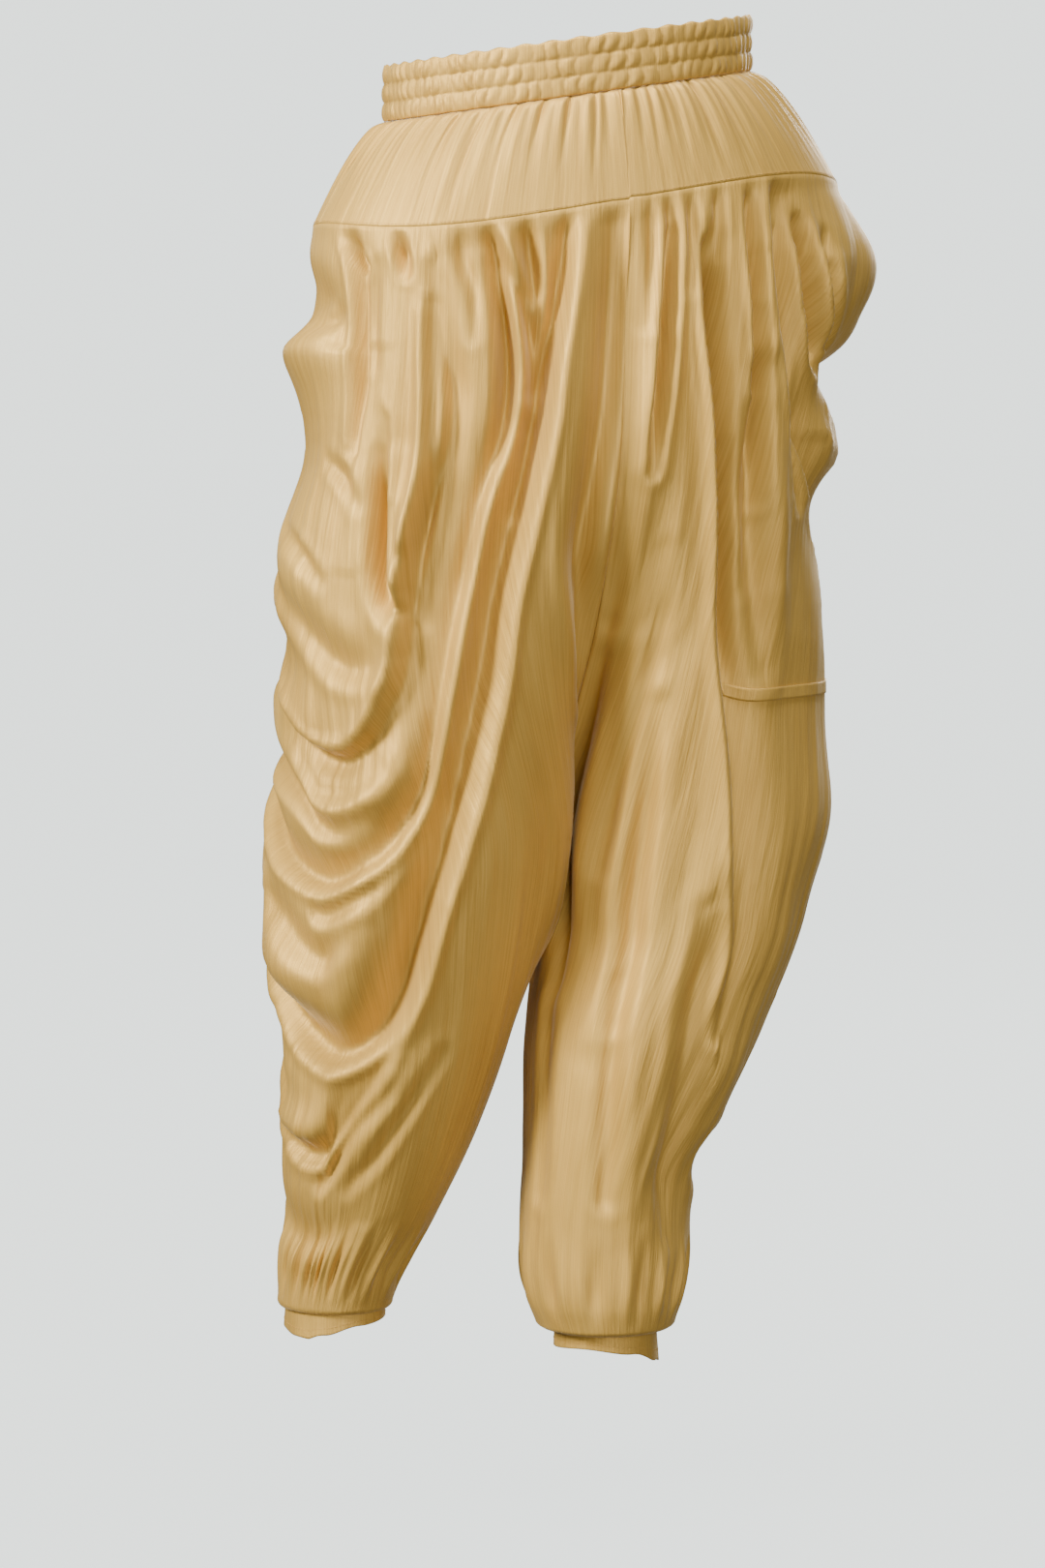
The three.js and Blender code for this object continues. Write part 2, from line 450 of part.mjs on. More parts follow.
// The leg's end rows turn under, in to the cuff
function cuffCentre(leg) {
  const end = leg.sections[leg.sections.length - 1];
  return { x: leg.side * end.out, y: end.back, z: SEAM_Z - end.drop, turn: end.turn };
}

function cuffPoint(leg, place, grow, fall) {
  const centre = cuffCentre(leg);
  const round = 2 * Math.PI * ringTurn(place);
  const turn = THREE.MathUtils.degToRad(centre.turn);
  const across = -Math.cos(round) * (leg.cuff.wide + grow);
  const along = Math.sin(round) * (leg.cuff.deep + grow);
  const x = leg.side * (across * Math.cos(turn) - along * Math.sin(turn));
  const y = across * Math.sin(turn) + along * Math.cos(turn);
  return new THREE.Vector3(centre.x + x, centre.y + y, centre.z - fall);
}

function legGrid(leg) {
  const end = leg.sections[leg.sections.length - 1].drop;
  const right = leg.side < 0;
  const drops = legDrops(end, right ? [STRIP.drop, STRIP.drop + STRIP.wide] : []);
  const places = Array.from({ length: LEG_COLUMNS + 1 }, (_, j) => j / LEG_COLUMNS);
  const outer = drops.map((drop) => places.map((place) => {
    const bent = right && drop > 1 ? drop - joinDip(place, drop) : drop;
    return foldedPoint(leg, place, bent);
  }));
  for (const point of outer[0]) point.z -= SEAM_GAP;
  for (const tuck of TUCK) {
    outer.push(places.map((place) => {
      const free = foldedPoint(leg, place, end);
      const held = cuffPoint(leg, place, SEAM_GAP, 0);
      return new THREE.Vector3().lerpVectors(free, held, tuck.inset).setZ(free.z - tuck.fall);
    }));
    drops.push(end + tuck.fall);
  }
  const closedFrom = drops.findIndex((drop) => drop >= CROTCH);
  for (let i = closedFrom; i < outer.length; i += 1) outer[i][LEG_COLUMNS] = outer[i][0];
  const inner = innerPoints(outer, leg.side, closedFrom, drops, CLOTH);
  for (let i = closedFrom; i < outer.length; i += 1) inner[i][LEG_COLUMNS] = inner[i][0];
  inner[0].forEach((point, j) => { point.z = outer[0][j].z; });
  const lastRow = outer.length - 1;
  inner[lastRow] = outer[lastRow].map((point) => point.clone().setZ(point.z + CLOTH));
  inner[lastRow][LEG_COLUMNS] = inner[lastRow][0];
  return { outer, inner, closedFrom, drops };
}

function legGeometry(grid, side) {
  return wall(handed(side, grid.outer), handed(side, grid.inner), grid.closedFrom);
}

function cuffGeometry(leg) {
  const hem = leg.cuff.hem;
  const hemDrop = (place) => {
    const at = (place % 1) * hem.length;
    const from = Math.floor(at);
    return THREE.MathUtils.lerp(hem[from], hem[(from + 1) % hem.length], smooth(0, 1, at - from));
  };
  const ring = (grow, share) => Array.from({ length: CUFF_COLUMNS + 1 }, (_, j) => {
    const place = (j % CUFF_COLUMNS) / CUFF_COLUMNS;
    const fall = CUFF_TOP + (hemDrop(place) - CUFF_TOP) * share;
    return cuffPoint(leg, place, grow + CUFF_FLARE * Math.max(fall - CUFF_FLARE_FROM, 0), fall);
  });
  const shares = Array.from({ length: CUFF_ROWS + 1 }, (_, i) => i / CUFF_ROWS);
  const outer = shares.map((share) => ring(0, share));
  const inner = shares.map((share) => ring(-CLOTH, share));
  return wall(handed(leg.side, outer), handed(leg.side, inner), 0);
}

// Join strip: the leg's own points between two rows, moved out
function stripGeometry(grid) {
  const top = grid.drops.indexOf(STRIP.drop);
  const first = Math.ceil(STRIP.from * LEG_COLUMNS);
  const last = Math.floor(STRIP.to * LEG_COLUMNS);
  const moved = innerPoints(grid.outer, -1, grid.outer.length, null, -SEAM_GAP);
  const raised = innerPoints(grid.outer, -1, grid.outer.length, null, -SEAM_GAP - STRIP.thick);
  const cut = (points) => [top, top + 1].map((i) => points[i].slice(first, last + 1));
  return wall(handed(-1, cut(raised)), handed(-1, cut(moved)), Infinity);
}

// Height of the waistband's lower edge
function bandEdge(x) {
  return -BAND.tall / 2 - BAND.tilt * x;
}

// Yoke quarter or half: rows from the waistband down to the leg's top edge
function yokeRow(leg, places, share) {
  return places.map((place) => {
    const turn = Math.PI * (0.5 - place);
    const high = ovalPoint(turn, BAND.halfWide, BAND.halfDeep, 0);
    const low = foldedPoint(leg, place, 0);
    const across = share ** YOKE.bulge;
    const wave = Math.cos(2 * Math.PI * YOKE.gathers * place + Math.sin(YOKE.waver * place));
    const fade = (1 - share) ** YOKE.gatherFade;
    const out = new THREE.Vector2(high.x, high.y).normalize().multiplyScalar(YOKE.gatherDepth * wave * fade);
    let x = THREE.MathUtils.lerp(high.x, leg.side * low.x, across) + out.x;
    const y = THREE.MathUtils.lerp(high.y, low.y, across) + out.y;
    if (place === 0) x = CENTRE_GAP;
    return new THREE.Vector3(leg.side * x, y, THREE.MathUtils.lerp(bandEdge(leg.side * high.x), low.z, share));
  });
}

function yokeShares() {
  return Array.from({ length: YOKE.rows + 1 }, (_, i) => i / YOKE.rows);
}

// The leg's own column places on the back or the front, clear of the side seam
function yokePlaces(front) {
  const half = LEG_COLUMNS / 2;
  return Array.from({ length: half + 1 }, (_, j) => {
    const place = (j + (front ? half : 0)) / LEG_COLUMNS;
    return front ? Math.max(place, 0.5 + YOKE.sideGap) : Math.min(place, 0.5 - YOKE.sideGap);
  });
}

// Both faces of a yoke piece, level with each other at its upper and lower edges
function yokeWall(outer, side, centreEdge) {
  const inner = innerPoints(outer, side, Infinity, null, CLOTH);
  const last = outer.length - 1;
  inner[last].forEach((point, j) => { point.z = outer[last][j].z; });
  for (const point of [...outer[0], ...inner[0]]) point.z = bandEdge(point.x) - SEAM_GAP;
  if (centreEdge) for (const row of inner) row[0].x = outer[0][0].x;
  return wall(handed(side, outer), handed(side, inner), Infinity);
}

function yokeBackGeometry(leg) {
  const places = yokePlaces(false);
  return yokeWall(yokeShares().map((share) => yokeRow(leg, places, share)), leg.side, true);
}

function yokeFrontGeometry() {
  const places = yokePlaces(true);
  const outer = yokeShares().map((share) => {
    const left = yokeRow(LEG.left, places, share);
    const right = yokeRow(LEG.right, places, share).reverse();
    const middle = new THREE.Vector3().lerpVectors(left[left.length - 1], right[0], 0.5);
    return [...left.slice(0, -1), middle, ...right.slice(1)];
  });
  return yokeWall(outer, 1, false);
}

// Waistband: puffed channels between lines of stitching, ruched all round, over a plain inner face
function bandGeometry() {
  const ring = (grow, height, ruched) => Array.from({ length: BAND_COLUMNS + 1 }, (_, j) => {
    const k = j % BAND_COLUMNS;
    const turn = Math.PI / 2 - (2 * Math.PI * k) / BAND_COLUMNS;
    const ruche = 0.5 + 0.5 * Math.cos((2 * Math.PI * BAND.ruches * k) / BAND_COLUMNS);
    const point = ovalPoint(turn, BAND.halfWide, BAND.halfDeep, grow + ruched * BAND.puff * ruche);
    return new THREE.Vector3(point.x, point.y, height - BAND.tilt * point.x);
  });
  const steps = 2 * BAND.channels;
  const outer = [];
  for (let i = 0; i <= steps; i += 1) {
    const height = BAND.tall * (0.5 - i / steps);
    outer.push(ring(i % 2 ? BAND.puff / 2 : 0, height, i % 2));
  }
  const inner = [0.5, -0.5].map((share) => ring(-BAND.wall, BAND.tall * share, 0));
  return wall(outer, inner, 0);
}

const legs = { left: legGrid(LEG.left), right: legGrid(LEG.right) };
const trousers = new THREE.Group();

function add(name, geometry) {
  const mesh = new THREE.Mesh(geometry, new THREE.MeshStandardMaterial(FABRIC));
  mesh.name = name;
  trousers.add(mesh);
}

add("waistband", bandGeometry());
add("yoke_back_left", yokeBackGeometry(LEG.left));
add("yoke_back_right", yokeBackGeometry(LEG.right));
add("yoke_front", yokeFrontGeometry());
add("leg_left", legGeometry(legs.left, 1));
add("leg_right", legGeometry(legs.right, -1));
add("join_strip_right", stripGeometry(legs.right));
add("cuff_left", cuffGeometry(LEG.left));
add("cuff_right", cuffGeometry(LEG.right));

export default trousers;
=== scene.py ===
"""Draped dhoti trousers, worn and hollow: the cloth, stitching, finish, floor, light and camera."""

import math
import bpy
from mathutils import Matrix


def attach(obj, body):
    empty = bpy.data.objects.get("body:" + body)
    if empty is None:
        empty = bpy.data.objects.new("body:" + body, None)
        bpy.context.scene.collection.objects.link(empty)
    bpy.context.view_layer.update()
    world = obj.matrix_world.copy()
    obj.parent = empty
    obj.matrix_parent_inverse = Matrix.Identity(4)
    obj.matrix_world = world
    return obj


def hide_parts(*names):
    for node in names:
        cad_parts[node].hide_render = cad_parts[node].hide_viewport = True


bl_info = {
    "name": "Draped Dhoti Trousers",
    "version": (1, 0, 0),
    "blender": (4, 5, 0),
    "location": "View3D > Sidebar > Dhoti",
    "description": "Builds pleated dhoti trousers with a ruched waist over their CAD solids",
    "category": "Add Mesh",
}

import bmesh
import bpy
import numpy as np
from mathutils import Matrix, Vector

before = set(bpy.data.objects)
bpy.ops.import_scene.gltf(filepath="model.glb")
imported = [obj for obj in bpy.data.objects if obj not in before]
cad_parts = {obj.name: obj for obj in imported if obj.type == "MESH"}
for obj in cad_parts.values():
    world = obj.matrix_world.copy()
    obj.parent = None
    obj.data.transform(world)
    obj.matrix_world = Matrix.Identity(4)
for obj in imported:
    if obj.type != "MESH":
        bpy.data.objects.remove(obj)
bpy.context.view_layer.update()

# Shapes are worked out in millimetres, as in the CAD source, and made in metres
MM = 0.001

# Waistband: half width, half depth, height, and how far it sinks for each millimetre to the wearer's left
BAND_WIDE, BAND_DEEP, BAND_TALL, BAND_TILT = 135, 102, 40, 0.147
BAND_COLUMNS, BAND_ROWS, BAND_THICK = 840, 44, 0.0024
CHANNELS, RUCHES, RUCHE_SHIFT = 3, 84, 0.31
CHANNEL_RISE, RUCHE_RISE, STITCHED_RISE, BAND_INSET, EDGE_WOBBLE = 0.6, 2.1, 0.25, 0.3, 0.8

# Yoke and its lower seam, and the gathers below the waistband: how many there are to a side and how deep
SEAM_Z, SEAM_TILT, SEAM_TIP_RISE, SEAM_TIP_AT = -97, 0.165, 0.54, 196
YOKE_BULGE, YOKE_SIDE_GAP = 0.66, 0.0003
YOKE_COLUMNS, YOKE_ROWS = 230, 44
GATHERS, GATHER_DEPTH = 20, 1.6
FINE_GATHERS, FINE_DEPTH = 53, 0.9
SLITS, SLIT_DEPTH, SLIT_WIDTH = 21, 2.6, 0.22
TUCK_REACH, TUCK_EASE, TUCK_IN = 0.06, 0.7, 0.9

# Legs. Places run round one leg's panel and drops run down from the yoke seam; the two legs part between
# SPLIT and CROTCH, and the yoke seam's tilt has left the cloth at TILT_TO
SPLIT, CROTCH = 120, 480
TILT_FROM, TILT_TO = 60, 440
OVAL_POWER, RING_POWER, RING_WARP = 0.92, 0.95, 1.6
LEG_COLUMNS, LEG_ROWS, TUCK_ROWS = 232, 204, 7
BACK_SHARE, EVEN_SHARE = 0.56, 0.45
CENTRE_GAP, CROTCH_Y = 0.02, -8
INSEAM_REACH, INSEAM_FADE, SEAM_REACH = 0.16, 130, 0.016
CLEFT_DEPTH, CLEFT_OPENS, CLEFT_CLOSES = 9, (8, 90), (240, 350)
TOP_TUCK_IN, TOP_TUCK_UP, TOP_SETTLE, HEM_TUCK_DOWN, HEM_CLEAR = 3.6, 3, 0.3, 5.5, 0.5

# Depth of the folds: they start below the yoke seam and end above the cuff, where small gathers take over
FOLD_START, FOLD_AT_SEAM = 17, 0.12
LEAST_FOLD, FOLD_GAIN = 4.2, 1.4
FOLD_LIP, LIP_AT, LIP_WIDE = 0.22, 2, 0.8
FOLD_END, GATHER_END, HEM_GATHER = 75, 30, 2.2
PLACE_LENGTH, CURVE_STEPS = 500, 5
NORMAL_STEP, FRONT_EDGE, LEAST_GIRTH = 0.015, 0.985, 0.72
RIPPLE_DEPTH, RIPPLE_FROM = 0.42, 120
RIPPLES = [
    dict(count=19, lean=1, start=0, share=1),
    dict(count=31, lean=-1.3, start=0, share=0.7),
    dict(count=47, lean=0.8, start=0.3, share=0.5),
]

# Hips: drop below the yoke seam, centre line, reach to each side, depth behind and in front
HIPS = [
    dict(drop=0, centre=0, left=190, right=205, back=124, front=112),
    dict(drop=60, centre=2, left=194, right=208, back=130, front=118),
    dict(drop=150, centre=5, left=202, right=198, back=134, front=122),
    dict(drop=280, centre=8, left=212, right=187, back=130, front=124),
    dict(drop=400, centre=13, left=218, right=190, back=124, front=122),
    dict(drop=480, centre=18, left=218, right=190, back=116, front=118),
    dict(drop=520, centre=20, left=218, right=190, back=116, front=118),
    dict(drop=600, centre=40, left=218, right=190, back=116, front=118),
    dict(drop=700, centre=60, left=218, right=190, back=116, front=118),
]

# Leg sections: drop, distance out and back, half width, half depth, turn in degrees
LEFT_SECTIONS = [
    dict(drop=0, out=98, back=0, wide=98, deep=124, turn=0),
    dict(drop=150, out=106, back=0, wide=96, deep=126, turn=0),
    dict(drop=300, out=114, back=0, wide=94, deep=124, turn=8),
    dict(drop=430, out=118, back=-4, wide=95, deep=112, turn=22),
    dict(drop=520, out=125, back=-10, wide=93, deep=102, turn=30),
    dict(drop=600, out=131, back=-16, wide=80, deep=90, turn=35),
    dict(drop=670, out=137, back=-25, wide=68, deep=74, turn=38),
    dict(drop=740, out=149, back=-38, wide=51, deep=58, turn=40),
    dict(drop=785, out=161, back=-48, wide=42, deep=46, turn=40),
    dict(drop=808, out=164, back=-53, wide=41, deep=43, turn=40),
]

RIGHT_SECTIONS = [
    dict(drop=0, out=98, back=0, wide=98, deep=124, turn=0),
    dict(drop=150, out=91, back=0, wide=101, deep=126, turn=0),
    dict(drop=300, out=84, back=0, wide=104, deep=124, turn=5),
    dict(drop=430, out=91, back=5, wide=97, deep=114, turn=12),
    dict(drop=520, out=84, back=10, wide=95, deep=106, turn=18),
    dict(drop=600, out=56, back=15, wide=88, deep=98, turn=20),
    dict(drop=670, out=35, back=21, wide=73, deep=84, turn=20),
    dict(drop=715, out=22, back=26, wide=63, deep=72, turn=20),
    dict(drop=760, out=18, back=30, wide=63, deep=66, turn=20),
    dict(drop=800, out=16, back=34, wide=58, deep=61, turn=20),
    dict(drop=818, out=16, back=38, wide=52, deep=54, turn=20),
]

# Folds. A path point is [place round the panel, drop, share of the depth]; the place runs from 0 at the
# centre back over 0.5 at the outer side to 1 at the centre front. Depth is inward, so a ridge has a minus.
# Below is the width of the fold's bank on its lower or centre side, above that of its other bank.
LEFT_FOLDS = [
    dict(depth=13, below=9, above=14, path=[
        [0.006, 15, 0.4], [0.011, 80, 0.9], [0.016, 140, 1], [0.024, 195, 1], [0.03, 250, 1],
        [0.015, 300, 0.8], [0.005, 345, 0.4]]),
    dict(depth=17, below=7, above=24, path=[
        [0.065, 5, 0.2], [0.075, 50, 0.5], [0.088, 105, 0.7], [0.097, 150, 1], [0.108, 190, 1],
        [0.122, 230, 1], [0.14, 275, 1], [0.16, 325, 1], [0.185, 365, 1], [0.215, 405, 1],
        [0.248, 450, 1], [0.275, 500, 1], [0.3, 546, 1], [0.33, 580, 0.9], [0.38, 604, 0.8],
        [0.46, 615, 0.7], [0.58, 612, 0.6], [0.68, 590, 0.6], [0.76, 540, 0.8], [0.82, 440, 0.9],
        [0.85, 290, 0.9], [0.87, 140, 0.7], [0.89, 40, 0.4]]),
    dict(depth=6, below=5, above=9, path=[
        [0.12, 5, 0.8], [0.112, 33, 1], [0.104, 65, 1], [0.096, 95, 1], [0.092, 125, 0.5]]),
    dict(depth=14, below=6, above=18, path=[
        [0.165, 8, 0.5], [0.15, 50, 0.9], [0.138, 85, 1], [0.134, 110, 1], [0.137, 135, 0.9],
        [0.145, 160, 0.9], [0.168, 205, 1], [0.183, 250, 1], [0.2, 290, 0.9], [0.222, 335, 0.9],
        [0.25, 380, 1], [0.28, 418, 0.9], [0.32, 450, 0.9], [0.37, 472, 0.8], [0.45, 485, 0.7],
        [0.57, 481, 0.6], [0.67, 458, 0.6], [0.75, 402, 0.7], [0.8, 300, 0.9], [0.83, 190, 0.9],
        [0.845, 90, 0.7], [0.85, 30, 0.5]]),
    dict(depth=15, below=17, above=6, path=[
        [0.238, 30, 0.2], [0.222, 80, 0.6], [0.211, 112, 1], [0.207, 135, 1], [0.209, 160, 1],
        [0.218, 185, 1], [0.228, 210, 1], [0.237, 240, 0.9], [0.245, 270, 0.9], [0.262, 320, 0.9],
        [0.285, 350, 0.8], [0.32, 378, 0.8], [0.37, 395, 0.7], [0.44, 395, 0.7], [0.53, 378, 0.5],
        [0.62, 348, 0.4], [0.7, 296, 0.5], [0.76, 226, 0.8], [0.79, 140, 0.9], [0.8, 50, 0.5]]),
    dict(depth=8, below=4, above=9, path=[
        [0.305, 140, 0.2], [0.3, 190, 0.9], [0.295, 225, 1], [0.289, 252, 1], [0.277, 277, 0.9],
        [0.262, 284, 0.3]]),
    dict(depth=-4, below=9, above=8, path=[[0.278, 170, 0.3], [0.272, 215, 1], [0.268, 258, 1]]),
    dict(depth=5, below=15, above=4, path=[
        [0.41, 8, 0.6], [0.385, 28, 1], [0.37, 60, 1], [0.363, 108, 0.9], [0.36, 155, 0.5]]),
    dict(depth=3, below=5, above=4, path=[[0.295, 8, 1], [0.285, 32, 0.7]]),
    dict(depth=4, below=16, above=14, path=[
        [0.41, 64, 0.3], [0.47, 54, 1], [0.55, 48, 1], [0.64, 44, 0.7]]),
    dict(depth=-11, below=24, above=15, path=[[0.45, 92, 0.6], [0.52, 95, 1], [0.63, 95, 0.7]]),
    dict(depth=4, below=26, above=20, path=[[0.42, 168, 0.5], [0.52, 172, 1], [0.62, 165, 0.8]]),
    dict(depth=-8, below=34, above=40, path=[[0.44, 262, 0.5], [0.53, 268, 1], [0.63, 262, 0.8]]),
    dict(depth=5, below=9, above=15, path=[
        [0.3, 322, 0.4], [0.36, 326, 1], [0.42, 312, 1], [0.5, 288, 0.9], [0.58, 262, 0.7],
        [0.66, 228, 0.4]]),
    dict(depth=-6, below=18, above=22, path=[[0.5, 368, 0.5], [0.58, 360, 1], [0.68, 350, 0.8]]),
    dict(depth=6, below=7, above=11, path=[
        [0.36, 438, 0.4], [0.42, 447, 0.8], [0.5, 438, 0.8], [0.58, 420, 0.9], [0.67, 402, 1],
        [0.74, 380, 0.4]]),
    dict(depth=4, below=8, above=12, path=[
        [0.4, 525, 0.4], [0.48, 541, 1], [0.57, 535, 1], [0.66, 508, 0.8]]),
    dict(depth=-5, below=16, above=20, path=[[0.54, 552, 0.4], [0.62, 552, 1], [0.7, 546, 1]]),
    dict(depth=6, below=34, above=18, path=[
        [0.5, 606, 0.4], [0.6, 604, 1], [0.7, 600, 1], [0.78, 590, 0.5]]),
    dict(depth=6, below=5, above=20, path=[
        [0.268, 505, 0.3], [0.285, 550, 0.7], [0.325, 597, 0.8], [0.36, 630, 0.8], [0.4, 650, 0.9],
        [0.45, 670, 1], [0.52, 687, 1], [0.6, 692, 1], [0.68, 682, 1], [0.75, 650, 0.8],
        [0.81, 590, 0.5]]),
    dict(depth=-6, below=9, above=13, path=[[0.52, 664, 0.3], [0.6, 674, 1], [0.7, 668, 1]]),
    dict(depth=5, below=11, above=16, path=[
        [0.4, 748, 0.5], [0.5, 756, 1], [0.62, 755, 1], [0.74, 742, 0.5]]),
]

RIGHT_FOLDS = [
    dict(depth=8, below=9, above=9, path=[[0, 20, 0.4], [0, 90, 0.9], [0, 200, 1], [0.004, 300, 0.8]]),
    dict(depth=5, below=4, above=5, path=[
        [0.038, 5, 0.6], [0.042, 25, 1], [0.039, 60, 1], [0.036, 95, 1], [0.034, 130, 1],
        [0.03, 160, 0.9], [0.03, 192, 0.3]]),
    dict(depth=3, below=9, above=9, path=[[0.028, 205, 0.5], [0.038, 250, 1], [0.035, 300, 0.5]]),
    dict(depth=17, below=6, above=20, path=[
        [0.084, 34, 0.1], [0.086, 62, 0.5], [0.091, 95, 0.9], [0.101, 130, 1], [0.113, 172, 1],
        [0.125, 210, 1], [0.139, 250, 1], [0.156, 300, 1], [0.175, 350, 0.95], [0.194, 400, 0.85],
        [0.211, 450, 0.75], [0.23, 500, 0.6], [0.25, 550, 0.4], [0.27, 600, 0.2]]),
    dict(depth=9, below=34, above=38, path=[
        [0.21, 290, 0.3], [0.24, 350, 1], [0.255, 400, 1], [0.268, 450, 1], [0.285, 500, 0.7],
        [0.3, 560, 0.3]]),
    dict(depth=5, below=4, above=7, path=[
        [0.143, 10, 0.7], [0.144, 45, 1], [0.152, 85, 1], [0.157, 115, 0.9], [0.166, 145, 0.6]]),
    dict(depth=9, below=9, above=10, path=[
        [0.168, 135, 0.5], [0.171, 180, 1], [0.175, 215, 1], [0.19, 250, 1], [0.21, 300, 0.7],
        [0.23, 340, 0.3]]),
    dict(depth=8, below=5, above=14, path=[
        [0.188, 8, 0.6], [0.19, 60, 0.9], [0.2, 95, 1], [0.22, 135, 1], [0.237, 160, 1], [0.27, 190, 1],
        [0.31, 217, 0.7], [0.36, 250, 0.3]]),
    dict(depth=10, below=5, above=6, path=[
        [0.228, 30, 0.2], [0.24, 72, 1], [0.255, 97, 1], [0.27, 115, 0.9], [0.292, 134, 0.4]]),
    dict(depth=7, below=6, above=5, path=[
        [0.28, 45, 0.3], [0.29, 72, 1], [0.31, 92, 1], [0.335, 115, 1], [0.36, 135, 0.6]]),
    dict(depth=-19, below=46, above=40, path=[
        [0.36, 56, 0.5], [0.43, 58, 1], [0.52, 60, 1], [0.63, 58, 0.6]]),
    dict(depth=13, below=11, above=20, path=[
        [0.34, 132, 0.4], [0.4, 146, 1], [0.5, 153, 1], [0.63, 150, 0.7]]),
    dict(depth=-10, below=16, above=22, path=[
        [0.36, 186, 0.6], [0.44, 191, 1], [0.55, 189, 1], [0.64, 184, 0.5]]),
    dict(depth=5, below=24, above=14, path=[[0.36, 232, 0.5], [0.45, 238, 1], [0.6, 236, 0.7]]),
    dict(depth=-6, below=44, above=40, path=[[0.38, 330, 0.5], [0.48, 345, 1], [0.6, 340, 0.7]]),
    dict(depth=-9, below=46, above=46, path=[[0.38, 440, 0.6], [0.48, 440, 1], [0.6, 440, 0.6]]),
    dict(depth=-4, below=10, above=12, path=[
        [0.065, 320, 0.3], [0.09, 395, 1], [0.103, 447, 1], [0.105, 500, 1], [0.115, 550, 0.8],
        [0.12, 600, 0.3]]),
    dict(depth=4, below=7, above=7, path=[
        [0.1, 360, 0.4], [0.114, 425, 1], [0.123, 480, 1], [0.128, 530, 1], [0.14, 590, 0.4]]),
    dict(depth=-5, below=10, above=14, path=[
        [0.105, 345, 0.3], [0.12, 398, 1], [0.134, 447, 1], [0.142, 500, 1], [0.152, 550, 1],
        [0.165, 605, 1], [0.176, 655, 1], [0.2, 705, 0.7], [0.215, 740, 0.2]]),
    dict(depth=7, below=10, above=18, path=[
        [0.195, 510, 0.3], [0.205, 545, 1], [0.216, 580, 1], [0.23, 612, 1], [0.242, 645, 1],
        [0.262, 690, 0.9], [0.29, 745, 0.3]]),
    dict(depth=8, below=12, above=12, path=[
        [0.008, 320, 0.4], [0.02, 380, 1], [0.034, 450, 1], [0.046, 500, 1], [0.054, 560, 0.4]]),
    dict(depth=5, below=12, above=14, path=[[0.36, 690, 0.3], [0.44, 700, 1], [0.54, 700, 0.8]]),
]

# The hidden front repeats some of the back's folds, moved a little and with other depths
LEFT_FRONT = [
    dict(of=0, shift=0.004, share=0.8),
    dict(of=2, shift=-0.03, share=1),
    dict(of=5, shift=0.03, share=0.8),
    dict(of=7, shift=0.02, share=1),
    dict(of=8, shift=-0.01, share=1),
]

RIGHT_FRONT = [
    dict(of=0, shift=0, share=0.7),
    dict(of=1, shift=0.012, share=1),
    dict(of=3, shift=0.008, share=0.85),
    dict(of=4, shift=0.02, share=0.9),
    dict(of=5, shift=0.01, share=1.2),
    dict(of=6, shift=-0.012, share=0.9),
    dict(of=7, shift=0.012, share=1.1),
    dict(of=8, shift=-0.01, share=0.8),
    dict(of=9, shift=0.01, share=1),
    dict(of=16, shift=0.01, share=1),
    dict(of=18, shift=-0.01, share=1),
    dict(of=19, shift=0.01, share=0.8),
    dict(of=20, shift=0, share=0.8),
]

